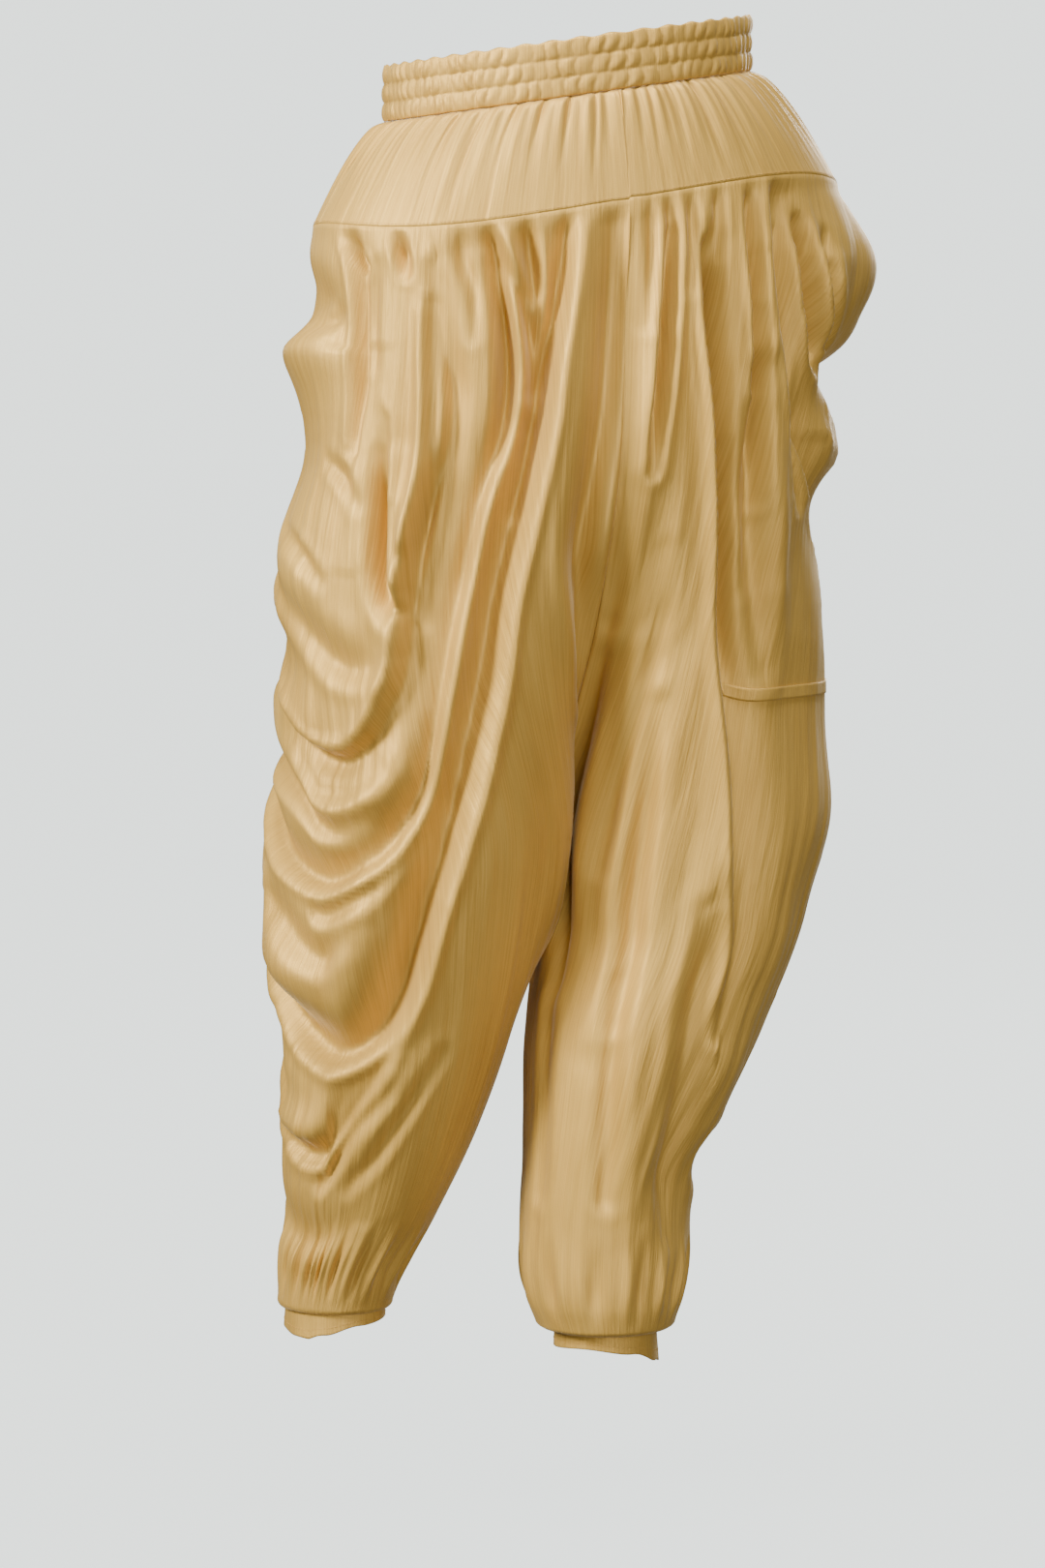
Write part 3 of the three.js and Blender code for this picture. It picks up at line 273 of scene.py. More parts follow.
# Small creases that only the finished cloth has
LEFT_SMALL = [
    dict(depth=7, below=4, above=6, path=[
        [0.066, 4, 0.3], [0.07, 40, 0.7], [0.08, 85, 1], [0.092, 130, 1], [0.1, 170, 0.8],
        [0.112, 215, 0.4]]),
    dict(depth=4, below=4, above=5, path=[[0.112, 3, 0.6], [0.108, 30, 1], [0.104, 55, 0.4]]),
    dict(depth=6, below=4, above=5, path=[
        [0.165, 6, 0.5], [0.15, 25, 1], [0.125, 55, 1], [0.108, 90, 1], [0.104, 125, 0.4]]),
    dict(depth=6, below=4, above=6, path=[
        [0.158, 30, 0.4], [0.144, 60, 1], [0.137, 95, 1], [0.135, 140, 0.8], [0.14, 170, 0.3]]),
    dict(depth=4, below=5, above=5, path=[
        [0.205, 8, 0.8], [0.2, 26, 1], [0.185, 48, 0.8], [0.18, 80, 0.4]]),
    dict(depth=7, below=5, above=4, path=[
        [0.245, 55, 0.3], [0.24, 90, 0.9], [0.232, 125, 1], [0.231, 165, 1], [0.238, 205, 1],
        [0.25, 245, 0.9], [0.262, 280, 0.5]]),
    dict(depth=-3, below=5, above=5, path=[
        [0.256, 60, 0.4], [0.25, 110, 1], [0.248, 170, 1], [0.26, 230, 0.6]]),
    dict(depth=5, below=4, above=4, path=[[0.39, 8, 0.6], [0.378, 24, 1], [0.364, 30, 0.5]]),
    dict(depth=4, below=4, above=4, path=[
        [0.368, 30, 0.6], [0.366, 75, 1], [0.36, 120, 1], [0.362, 165, 0.6]]),
    dict(depth=5, below=4, above=4, path=[[0.3, 6, 0.5], [0.29, 18, 1], [0.283, 30, 0.4]]),
    dict(depth=3, below=5, above=5, path=[[0.335, 28, 0.4], [0.34, 65, 1], [0.335, 100, 0.5]]),
    dict(depth=4, below=4, above=5, path=[
        [0.31, 165, 0.3], [0.303, 205, 1], [0.3, 245, 1], [0.288, 275, 0.6]]),
    dict(depth=3, below=4, above=5, path=[[0.28, 205, 0.4], [0.27, 235, 1], [0.262, 265, 0.5]]),
    dict(depth=4, below=6, above=5, path=[[0.48, 75, 0.5], [0.44, 72, 1], [0.42, 66, 0.4]]),
    dict(depth=3, below=5, above=6, path=[[0.52, 228, 0.5], [0.45, 246, 1], [0.4, 262, 0.4]]),
    dict(depth=3, below=5, above=6, path=[[0.34, 205, 0.3], [0.38, 185, 1], [0.42, 176, 0.5]]),
    dict(depth=4, below=6, above=7, path=[
        [0.32, 400, 0.4], [0.38, 420, 1], [0.46, 420, 1], [0.55, 400, 0.5]]),
    dict(depth=4, below=6, above=7, path=[
        [0.3, 455, 0.4], [0.36, 490, 1], [0.44, 508, 1], [0.52, 508, 0.6]]),
    dict(depth=4, below=6, above=8, path=[
        [0.33, 640, 0.4], [0.4, 668, 1], [0.47, 700, 1], [0.55, 712, 0.6]]),
    dict(depth=3, below=5, above=6, path=[
        [0.25, 610, 0.4], [0.29, 650, 1], [0.34, 690, 1], [0.4, 715, 0.4]]),
]

RIGHT_SMALL = [
    dict(depth=7, below=3, above=5, path=[
        [0.042, 30, 0.3], [0.04, 65, 0.9], [0.036, 105, 1], [0.032, 150, 0.8], [0.029, 195, 0.3]]),
    dict(depth=13, below=4, above=9, path=[
        [0.086, 40, 0.3], [0.088, 75, 0.8], [0.094, 115, 1], [0.104, 155, 1], [0.116, 195, 1],
        [0.13, 235, 0.7], [0.142, 270, 0.2]]),
    dict(depth=6, below=3, above=4, path=[
        [0.146, 18, 0.4], [0.15, 60, 1], [0.157, 105, 1], [0.164, 145, 0.5]]),
    dict(depth=6, below=4, above=4, path=[
        [0.162, 95, 0.3], [0.17, 140, 1], [0.176, 185, 1], [0.186, 225, 0.4]]),
    dict(depth=5, below=4, above=5, path=[
        [0.2, 40, 0.3], [0.205, 95, 1], [0.222, 140, 1], [0.24, 185, 0.8], [0.27, 230, 0.4]]),
    dict(depth=11, below=4, above=5, path=[
        [0.232, 36, 0.4], [0.242, 70, 1], [0.258, 98, 1], [0.278, 128, 0.4]]),
    dict(depth=8, below=4, above=4, path=[[0.292, 68, 0.4], [0.304, 98, 1], [0.325, 130, 0.5]]),
    dict(depth=4, below=4, above=5, path=[[0.1, 4, 0.8], [0.1, 26, 0.9], [0.103, 50, 0.3]]),
    dict(depth=4, below=4, above=5, path=[[0.02, 4, 0.6], [0.022, 40, 1], [0.018, 90, 0.5]]),
    dict(depth=4, below=4, above=5, path=[[0.065, 4, 0.6], [0.066, 30, 1], [0.062, 70, 0.4]]),
    dict(depth=3, below=5, above=5, path=[
        [0.135, 185, 0.3], [0.148, 250, 1], [0.163, 300, 1], [0.178, 340, 0.3]]),
    dict(depth=3, below=6, above=7, path=[
        [0.06, 250, 0.3], [0.075, 320, 1], [0.085, 400, 1], [0.09, 480, 0.4]]),
    dict(depth=3, below=6, above=7, path=[
        [0.02, 420, 0.3], [0.045, 520, 1], [0.065, 620, 1], [0.07, 720, 0.4]]),
    dict(depth=3, below=6, above=7, path=[[0.13, 560, 0.3], [0.15, 640, 1], [0.17, 720, 0.6]]),
]

# The first of those creases come round to the hidden front in the same way
FRONT_CREASES, LEFT_CREASE_SHIFT, RIGHT_CREASE_SHIFT = 6, 0.02, 0.012

# Cuffs. A hem is the cuff's length below the leg at even steps round the ankle, from the inseam
CUFF_TOP, CUFF_FLARE, CUFF_FLARE_FROM, CUFF_BUCKLE = 2, 0.06, 8, 0.5
CUFF_COLUMNS, CUFF_ROWS, CUFF_THICK = 128, 14, 0.0014
LEFT_CUFF = dict(wide=36, deep=38, flat=(0.245, 0.015), hem=[14, 10, 13, 22, 26, 24, 20, 17])
RIGHT_CUFF = dict(wide=38, deep=40, flat=(0.245, 0.021), hem=[21, 12, 18, 32, 33, 29, 26, 24])

# Join strip across the right leg, which dips towards the centre back
STRIP = dict(drop=354, tall=9, start=0.165, end=0.84, dip=17, dip_end=0.225, lead=0.06, spread=55, lift=1.1)
STRIP_COLUMNS, STRIP_ROWS, STRIP_THICK = 200, 6, 0.0009

# Stitches: the places where a yoke seam's row begins and ends, and the rows of points that stitches follow
YOKE_ROWS_SEWN = [dict(half="back", first=0.004, last=0.495), dict(half="front", first=0.505, last=0.996)]
YOKE_SEWN_FROM, YOKE_SEWN_STEPS, YOKE_SEWN_ROW, YOKE_SEWN_COLUMNS = 0.90, 5, 3, 180
BAND_SEWN_OF, BAND_SEWN_ROWS = 30, (10, 20)
CUFF_SEWN_ROW = 10

# Woven patterns: how often each repeats in a metre across and along the cloth, and its detail
SLUBS = dict(across=620, along=7, detail=4)
WARP = dict(across=2600, along=60, detail=1)
WEFT = dict(across=60, along=2600, detail=1)
CRUMPLE = dict(across=85, along=15, detail=4)
CLOUDS = dict(across=14, along=9, detail=3)
SLUB_TINT, CLOUD_TINT, TINT_FROM, TINT_TO = 0.65, 0.35, 0.34, 0.60
DULL_ROUGHNESS, GLOSSY_ROUGHNESS = 0.62, 0.44
WARP_HEIGHT, WEFT_HEIGHT, SLUB_HEIGHT, CRUMPLE_HEIGHT, RELIEF_DISTANCE = 0.5, 0.35, 0.9, 6.0, 0.0004

# Stage: places are measured behind the garment, to the camera's right, and up
STUDIO_COLOUR = (0.73, 0.782, 0.758, 1)
STUDIO_LIGHT, STUDIO_SEEN, FLOOR_GLOW, FLOOR_SIZE = 0.2, 2.6, 2.56, 30
LIGHTS_AIM = Vector((0, 0, -0.45))
LIGHTS = [
    dict(name="Key light", back=1.9, right=-2.9, up=1.3, size=(0.8, 1.5), power=312,
         colour=(1, 0.965, 0.85)),
    dict(name="Fill light", back=3.0, right=0.9, up=-0.5, size=(1.6, 1.8), power=78, colour=(1, 0.97, 0.9)),
    dict(name="Top light", back=0.9, right=0, up=2.2, size=(1, 1), power=115, colour=(1, 0.97, 0.9)),
    dict(name="Far light", back=-2.9, right=1.1, up=0.8, size=(1.5, 2.0), power=120, colour=(1, 1, 1)),
]
CAMERA_LEFT, CAMERA_HEIGHT, CAMERA_DIP = 0.033, -0.2, 5.41


def smooth(start, end, value):
    """Rises from 0 at start to 1 at end, and is level at both."""
    part = np.clip((np.asarray(value, float) - start) / (end - start), 0, 1)
    return part * part * (3 - 2 * part)


def power(value, exponent):
    """A power that keeps the value's sign."""
    return np.sign(value) * np.abs(value) ** exponent


def waves(count, share, start=0):
    """A count of even waves over a share from 0 to 1."""
    return np.sin(2 * math.pi * count * share + start)


def column(table, name, drop):
    """One column of a table at each drop, on a curve that never overshoots its rows."""
    drops = np.array([row["drop"] for row in table], float)
    values = np.array([row[name] for row in table], float)
    slopes = np.diff(values) / np.diff(drops)
    tangents = np.concatenate([slopes[:1], np.zeros(len(slopes) - 1), slopes[-1:]])
    same = slopes[:-1] * slopes[1:] > 0
    both = np.where(same, slopes[:-1] + slopes[1:], 1)
    tangents[1:-1] = np.where(same, 2 * slopes[:-1] * slopes[1:] / both, 0)
    at = np.clip(drop, drops[0], drops[-1])
    k = np.clip(np.searchsorted(drops, at, side="right") - 1, 0, len(slopes) - 1)
    length = drops[k + 1] - drops[k]
    u = (at - drops[k]) / length
    start = (1 + 2 * u) * (1 - u) ** 2 * values[k] + u * (1 - u) ** 2 * length * tangents[k]
    end = u * u * (3 - 2 * u) * values[k + 1] + u * u * (u - 1) * length * tangents[k + 1]
    return start + end


def parted(drop):
    """How far the legs have parted: 0 in the seat and 1 from the crotch down."""
    part = np.clip((drop - SPLIT) / (CROTCH - SPLIT), 0, 1)
    return part ** 3 * (4 - 3 * part)


def seam_rise(x):
    """Height of the yoke's lower seam over its middle."""
    return -SEAM_TILT * x * (1 - SEAM_TIP_RISE * np.abs(x / SEAM_TIP_AT) ** 4)


def ring_turn(place):
    """Share of the way round one leg; it moves slowly near the outer side, where the cloth is fullest."""
    near = np.where(place < 0.5, place, 1 - place)
    turned = 0.5 * (1 - np.clip(1 - 2 * near, 0, 1) ** RING_WARP)
    return np.where(place < 0.5, turned, 1 - turned)


def leg_section(leg, place, drop):
    """Half of the seat, parting into one leg's oval; x runs out from the middle."""
    side, sections = leg["side"], leg["sections"]
    centre = side * column(HIPS, "centre", drop)
    reach = column(HIPS, leg["name"], drop) - centre
    angle = math.pi * (0.5 - place)
    depth = np.where(place < 0.5, column(HIPS, "back", drop), column(HIPS, "front", drop))
    hip_x = reach * power(np.cos(angle), OVAL_POWER) + centre
    hip_y = depth * power(np.sin(angle), OVAL_POWER)
    turn = np.radians(column(sections, "turn", drop))
    ring = 2 * math.pi * ring_turn(place)
    across = -power(np.cos(ring), RING_POWER) * column(sections, "wide", drop)
    along = power(np.sin(ring), RING_POWER) * column(sections, "deep", drop)
    ring_x = column(sections, "out", drop) + across * np.cos(turn) - along * np.sin(turn)
    ring_y = column(sections, "back", drop) + across * np.sin(turn) + along * np.cos(turn)
    share = parted(drop)
    return (1 - share) * hip_x + share * ring_x, (1 - share) * hip_y + share * ring_y


def leg_point(leg, place, drop):
    """Points of the unfolded leg, with its centre edges drawn to the crotch seam."""
    side = leg["side"]
    centre = side * column(HIPS, "centre", drop)
    share = parted(drop)
    behind = place < 0.5
    edge_place = np.where(behind, 0.0, 1.0)
    edge_depth = np.where(behind, column(HIPS, "back", drop), -column(HIPS, "front", drop))
    seam_y = (1 - share) * edge_depth + share * CROTCH_Y
    edge_x, edge_y = leg_section(leg, edge_place, drop)
    near = 1 - smooth(0, INSEAM_REACH, np.abs(place - edge_place))
    held = near * (1 - smooth(CROTCH, CROTCH + INSEAM_FADE, drop))
    x, y = leg_section(leg, place, drop)
    x = np.maximum(x + (centre + CENTRE_GAP - edge_x) * held, centre + CENTRE_GAP)
    y = y + (seam_y - edge_y) * held
    tilted = 1 - np.clip((drop - TILT_FROM) / (TILT_TO - TILT_FROM), 0, 1)
    return np.stack([side * x, y, SEAM_Z - drop + seam_rise(side * x) * tilted], axis=-1)


def fold_curve(path):
    """A smooth line through a fold's points, as short steps of place, drop and share."""
    scale = (PLACE_LENGTH, 1, 1)
    points = np.array(path, float) * scale
    ends = [2 * points[0] - points[1], *points, 2 * points[-1] - points[-2]]
    steps = []
    for a, b, c, d in zip(ends, ends[1:], ends[2:], ends[3:]):
        for u in np.linspace(0, 1, CURVE_STEPS + 1)[:-1]:
            bend = (2 * a - 5 * b + 4 * c - d) * u * u + (3 * b - 3 * c + d - a) * u ** 3
            steps.append(0.5 * (2 * b + (c - a) * u + bend))
    return np.array([*steps, points[-1]]) / scale


def fold_depth(fold, place, drop, girth, depth):
    """Adds one fold's depth to the grid's, with its own bank on each side and a low lip beyond them."""
    steps = fold_curve(fold["path"])
    below = max(fold["below"], LEAST_FOLD)
    above = max(fold["above"], LEAST_FOLD)
    reach = 3 * max(below, above)
    top, bottom = steps[:, 1].min() - reach, steps[:, 1].max() + reach
    rows = np.where((drop[:, 0] > top) & (drop[:, 0] < bottom))[0]
    if not len(rows):
        return
    part = slice(rows[0], rows[-1] + 1)
    t, d, g = place[part], drop[part], girth[part]
    nearest = np.full(t.shape, 1e9)
    signed = np.zeros(t.shape)
    share = np.zeros(t.shape)
    for a, b in zip(steps, steps[1:]):
        run_x, run_y = (b[0] - a[0]) * g, b[1] - a[1]
        off_x, off_y = (t - a[0]) * g, d - a[1]
        along = np.clip((off_x * run_x + off_y * run_y) / (run_x ** 2 + run_y ** 2 + 1e-9), 0, 1)
        away = np.hypot(off_x - along * run_x, off_y - along * run_y)
        closer = away < nearest
        nearest = np.where(closer, away, nearest)
        signed = np.where(closer, run_x * off_y - run_y * off_x, signed)
        share = np.where(closer, a[2] + along * (b[2] - a[2]), share)
    apart = nearest / np.where(signed > 0, below, above)
    trough = np.exp(-apart ** 2) - FOLD_LIP * np.exp(-((apart - LIP_AT) / LIP_WIDE) ** 2)
    depth[part] += FOLD_GAIN * fold["depth"] * share * trough


def on_front(folds, copy):
    """A fold of the back, mirrored to the hidden front and moved a little."""
    fold = folds[copy["of"]]
    path = [[1 - place + copy["shift"], drop, share] for place, drop, share in fold["path"]][::-1]
    return {**fold, "depth": fold["depth"] * copy["share"], "path": path}


def all_folds(folds, front, small, crease_shift):
    """Every fold of one leg: the back's, the front's and the small creases of both."""
    carried = [dict(of=number, shift=crease_shift, share=1) for number in range(FRONT_CREASES)]
    main_folds = [*folds, *[on_front(folds, copy) for copy in front]]
    return main_folds + [*small, *[on_front(small, copy) for copy in carried]]


LEGS = {
    "left": dict(name="left", side=1, sections=LEFT_SECTIONS, cuff=LEFT_CUFF,
                 folds=all_folds(LEFT_FOLDS, LEFT_FRONT, LEFT_SMALL, LEFT_CREASE_SHIFT)),
    "right": dict(name="right", side=-1, sections=RIGHT_SECTIONS, cuff=RIGHT_CUFF,
                  folds=all_folds(RIGHT_FOLDS, RIGHT_FRONT, RIGHT_SMALL, RIGHT_CREASE_SHIFT)),
}


def seam_depth(drop):
    """How far the centre seams draw the seat in."""
    return CLEFT_DEPTH * smooth(*CLEFT_OPENS, drop) * (1 - smooth(*CLEFT_CLOSES, drop))


def ripples(side, place, drop):
    """Low, uneven waves that run down the cloth between the main folds."""
    lean = 0.35 * np.sin(drop / 170 + side) + 0.2 * np.sin(drop / 61 + 2 * side)
    wave = sum(row["share"] * waves(1, row["count"] * place + row["lean"] * lean + row["start"])
               for row in RIPPLES)
    swell = 0.55 + 0.45 * np.sin(drop / 97 + 9 * place + side)
    return RIPPLE_DEPTH * wave * swell


def folded_leg(leg, place, drop):
    """Points of the folded leg's outer face on a grid of places and drops."""
    side = leg["side"]
    at = leg_point(leg, place, drop)
    step = np.where(place < FRONT_EDGE, NORMAL_STEP, -NORMAL_STEP)
    round_leg = (leg_point(leg, place + step, drop) - at) / step[..., None]
    down_leg = leg_point(leg, place, drop + 1) - at
    outward = np.cross(round_leg, down_leg) * side
    outward /= np.linalg.norm(outward, axis=-1, keepdims=True)
    girth = np.linalg.norm(round_leg, axis=-1)
    girth = np.maximum(girth, LEAST_GIRTH * girth.mean(axis=1, keepdims=True))
    depth = np.zeros(place.shape)
    for fold in leg["folds"]:
        fold_depth(fold, place, drop, girth, depth)
    depth += ripples(side, place, drop) * smooth(0, RIPPLE_FROM, drop)
    depth *= FOLD_AT_SEAM + (1 - FOLD_AT_SEAM) * smooth(0, FOLD_START, drop)
    end = leg["sections"][-1]["drop"]
    depth *= 1 - smooth(end - FOLD_END, end, drop)
    gathered = smooth(end - FOLD_END, end - GATHER_END, drop) * (1 - smooth(end - GATHER_END, end, drop))
    wave = np.cos(2 * math.pi * 13 * place + side) + 0.6 * waves(29, place, 3 * side)
    depth += HEM_GATHER * gathered * wave
    at_edge = 1 - smooth(0, SEAM_REACH, np.minimum(place, 1 - place))
    sewn = at_edge * (1 - smooth(CROTCH, CROTCH + INSEAM_FADE, drop))
    depth = depth + (seam_depth(drop) - depth) * sewn
    point = at - outward * depth[..., None]
    least = side * column(HIPS, "centre", drop) + CENTRE_GAP
    across = side * point[..., 0]
    point[..., 0] = side * np.maximum(across + (least - across) * sewn, least)
    return point


def oval(turn, wide, deep, grow):
    """A squared oval of points, moved outwards by grow."""
    x = wide * power(np.cos(turn), OVAL_POWER)
    y = deep * power(np.sin(turn), OVAL_POWER)
    out = np.stack([x / wide ** 2, y / deep ** 2], axis=-1)
    out /= np.linalg.norm(out, axis=-1, keepdims=True)
    return x + out[..., 0] * grow, y + out[..., 1] * grow


def cuff_point(leg, place, grow, fall):
    """Points of the cuff's oval at a fall below the leg's end."""
    end, cuff = leg["sections"][-1], leg["cuff"]
    ring = 2 * math.pi * ring_turn(place)
    turn = math.radians(end["turn"])
    across = -np.cos(ring) * (cuff["wide"] + grow)
    along = np.sin(ring) * (cuff["deep"] + grow)
    x = leg["side"] * (end["out"] + across * math.cos(turn) - along * math.sin(turn))
    y = end["back"] + across * math.sin(turn) + along * math.cos(turn)
    return np.stack([x, y, SEAM_Z - end["drop"] - fall + 0 * x], axis=-1)


def hem_drop(leg, place):
    """Length of the cuff at a place, eased between the values of its hem."""
    hem = np.array(leg["cuff"]["hem"], float)
    hem = (np.roll(hem, 1) + 2 * hem + np.roll(hem, -1)) / 4
    at = (place % 1) * len(hem)
    first = np.floor(at).astype(int) % len(hem)
    return hem[first] + (hem[(first + 1) % len(hem)] - hem[first]) * smooth(0, 1, at % 1)


def grid_of(across, columns, rows):
    """A grid of places between two ends, and of shares from 0 in the first row to 1 in the last."""
    return np.meshgrid(np.linspace(*across, columns + 1), np.linspace(0, 1, rows + 1))


def cloth_mesh(name, points, size, material, thickness, side=1, closed_from=None):
    """A sheet from a grid of points in millimetres; size is its width and length in metres for the weave.

    Its two side edges are sewn together from the row closed_from down.
    """
    rows, columns = points.shape[0] - 1, points.shape[1] - 1
    bm = bmesh.new()
    bmesh.ops.create_grid(bm, x_segments=columns, y_segments=rows, size=1)
    uv = bm.loops.layers.uv.new("UVMap")
    where = {}
    for vert in bm.verts:
        where[vert] = (round((1 - vert.co.y) / 2 * rows), round((vert.co.x + 1) / 2 * columns))
    for face in bm.faces:
        for loop in face.loops:
            row, place = where[loop.vert]
            loop[uv].uv = (place / columns * size[0], row / rows * size[1])
    starts, ends = {}, {}
    for vert, (row, place) in where.items():
        vert.co = Vector(points[row, place] * MM)
        if closed_from is None or row < closed_from:
            continue
        if place == 0:
            starts[row] = vert
        elif place == columns:
            ends[row] = vert
    if ends:
        bmesh.ops.weld_verts(bm, targetmap={vert: starts[row] for row, vert in ends.items()})
    if side > 0:
        bmesh.ops.reverse_faces(bm, faces=bm.faces)
    return finish_mesh(name, bm, material, thickness)


def finish_mesh(name, bm, material, thickness=0.0):
    """Makes an object of a bmesh; a thickness grows inwards from its face."""
    mesh = bpy.data.meshes.new(name)
    bm.to_mesh(mesh)
    bm.free()
    for polygon in mesh.polygons:
        polygon.use_smooth = True
    piece = bpy.data.objects.new(name, mesh)
    bpy.context.collection.objects.link(piece)
    mesh.materials.append(material)
    if thickness:
        wall = piece.modifiers.new("Cloth thickness", "SOLIDIFY")
        wall.thickness = thickness
        wall.offset = -1
        wall.use_even_offset = False
    return piece


def dress(piece, node):
    """Puts a piece of cloth on the body, in place of its CAD node."""
    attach(piece, "root")
    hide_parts(node)


def stitches(name, line, outward, material, pitch=3.0, length=2.1, width=0.45, lift=0.15):
    """Thread stitches laid along a line of points in millimetres."""
    runs = np.concatenate([[0], np.cumsum(np.linalg.norm(np.diff(line, axis=0), axis=1))])
    marks = np.arange(pitch / 2, runs[-1] - pitch / 2, pitch)
    at = np.stack([np.interp(marks, runs, line[:, k]) for k in range(3)], axis=-1)
    out = np.stack([np.interp(marks, runs, outward[:, k]) for k in range(3)], axis=-1)
    bm = bmesh.new()
    for k in range(len(marks)):
        ahead = Vector(at[min(k + 1, len(marks) - 1)] - at[max(k - 1, 0)]).normalized()
        up = Vector(out[k]).normalized()
        up = (up - ahead * up.dot(ahead)).normalized()
        turn = Matrix((ahead, up.cross(ahead), up)).transposed().to_4x4()
        place = Matrix.Translation(Vector(at[k]) * MM + up * lift * MM)
        scale = Matrix.Diagonal((length * MM / 2, width * MM / 2, width * MM / 2, 1))
        bmesh.ops.create_uvsphere(bm, u_segments=8, v_segments=5, radius=1, matrix=place @ turn @ scale)
    return finish_mesh(name, bm, material)


def normals_of(points, side):
    """Outward directions on a grid of points."""
    across = np.gradient(points, axis=1)
    down = np.gradient(points, axis=0)
    out = np.cross(across, down) * side
    return out / np.maximum(np.linalg.norm(out, axis=-1, keepdims=True), 1e-9)


def leg_places(columns):
    """Column places, closer on the back, and spread so that the cloth's squares stay even at the side."""
    back_columns = int(columns * BACK_SHARE)
    halves = []
    for count in (back_columns, columns - back_columns):
        part = np.linspace(0, 1, count + 1)
        warped = 1 - (1 - part) ** (1 / RING_WARP)
        halves.append(0.5 * (EVEN_SHARE * part + (1 - EVEN_SHARE) * warped))
    back, front = halves
    return np.concatenate([back, 1 - front[::-1][1:]])


def leg_rows(leg, columns, rows):
    """The leg's grid with its end turned under to the cuff; also the first row that closes on itself."""
    end = leg["sections"][-1]["drop"]
    drops = np.linspace(0, end, rows + 1)
    place, drop = np.meshgrid(leg_places(columns), drops)
    points = folded_leg(leg, place, drop)
    held = cuff_point(leg, place[-1], HEM_CLEAR, 0)
    under = []
    for number in range(1, TUCK_ROWS + 1):
        swing = math.pi / 2 * number / TUCK_ROWS
        row = points[-1] + (held - points[-1]) * (1 - math.cos(swing))
        row[:, 2] = points[-1][:, 2] - HEM_TUCK_DOWN * math.sin(swing)
        under.append(row)
    tucked = points[0] - normals_of(points[:3], leg["side"])[0] * TOP_TUCK_IN
    tucked[:, 2] = points[0][:, 2] + TOP_TUCK_UP
    points[0, :, 2] -= TOP_SETTLE
    points = np.concatenate([tucked[None], points, np.array(under)])
    closed = int(np.argmax(drops >= CROTCH)) + 1
    points[closed:, -1] = points[closed:, 0]
    return points, closed


def gathers(side, place, share):
    """How far the yoke's cloth stands out below the waistband: waves, finer waves and sharp slits."""
    lean = 0.5 * np.sin(2.2 * share + 9 * place + side)
    wave = np.cos(2 * math.pi * GATHERS * place + np.sin(9 * place) + lean)
    fine = waves(FINE_GATHERS, place, 4 * np.sin(11 * place + side) + 2 * lean)
    short = 0.5 - 0.5 * np.sin(23 * place + 2 * side)
    pinch = np.abs(np.sin(math.pi * SLITS * place + 1.5 * np.sin(9 * place) + lean))
    slits = np.exp(-((pinch / SLIT_WIDTH) ** 2)) * (1 - share) ** (1 + 2.2 * short)
    out = GATHER_DEPTH * wave * (1 - share) ** (1.1 + 1.6 * short)
    out += FINE_DEPTH * fine * (1 - share) ** 1.8 - SLIT_DEPTH * slits
    tucked = 1 - smooth(0, TUCK_REACH, share)
    return out * (1 - TUCK_EASE * tucked) - TUCK_IN * tucked


def yoke_points(leg, place, share):
    """Yoke points from the waistband's lower edge (share 0) to the leg seam (share 1)."""
    side = leg["side"]
    high_x, high_y = oval(math.pi * (0.5 - place), BAND_WIDE, BAND_DEEP, 0)
    low = folded_leg(leg, place[:1], np.zeros_like(place[:1]))[0]
    across = share ** YOKE_BULGE
    out = gathers(side, place, share) / np.hypot(high_x, high_y)
    x = high_x + (side * low[:, 0] - high_x) * across + out * high_x
    y = high_y + (low[:, 1] - high_y) * across + out * high_y
    at_centre = np.minimum(place, 1 - place) < 1e-6
    x = np.where(at_centre, CENTRE_GAP, x)
    top = -BAND_TALL / 2 - BAND_TILT * side * high_x
    z = top + (low[:, 2] - top) * share
    return np.stack([side * x, y, z], axis=-1)


def band_points(columns, rows):
    """The waistband's outer face: three rows of elastic ruches between lines of stitching."""
    round_band, share = grid_of((0, 1), columns, rows)
    channel = np.clip(np.floor(share * CHANNELS), 0, CHANNELS - 1)
    within = share * CHANNELS - channel
    phase = RUCHES * round_band + RUCHE_SHIFT * channel
    phase += 0.12 * waves(7, round_band, 2 * channel) + 0.10 * waves(17, round_band)
    phase += 0.10 * waves(11, round_band, 5 * within)
    crest = np.abs(np.sin(math.pi * phase)) ** 0.7
    tall = 0.72 + 0.28 * waves(23, round_band, 1.7 * channel)
    puff = np.sin(math.pi * np.clip(within, 0, 1)) ** 0.55
    grow = puff * (CHANNEL_RISE + RUCHE_RISE * crest * tall) + STITCHED_RISE * crest * (1 - puff)
    turn = math.pi / 2 - 2 * math.pi * round_band
    x, y = oval(turn, BAND_WIDE, BAND_DEEP, grow - BAND_INSET)
    wobble = EDGE_WOBBLE * waves(RUCHES / 2, round_band) * (share == 0)
    z = BAND_TALL * (0.5 - share) - BAND_TILT * x + wobble
    points = np.stack([x, y, z], axis=-1)
    points[:, -1] = points[:, 0]
    return points


def cuff_points(leg):
    """The cuff's outer face, which flares a little towards its hem."""
    place, share = grid_of((0, 1), CUFF_COLUMNS, CUFF_ROWS)
    fall = CUFF_TOP + (hem_drop(leg, place) - CUFF_TOP) * share
    buckle = CUFF_BUCKLE * waves(5, place, 2 * leg["side"]) * share
    grow = CUFF_FLARE * np.maximum(fall - CUFF_FLARE_FROM, 0) + buckle
    points = cuff_point(leg, place, grow, fall)
    points[:, -1] = points[:, 0]
    return points


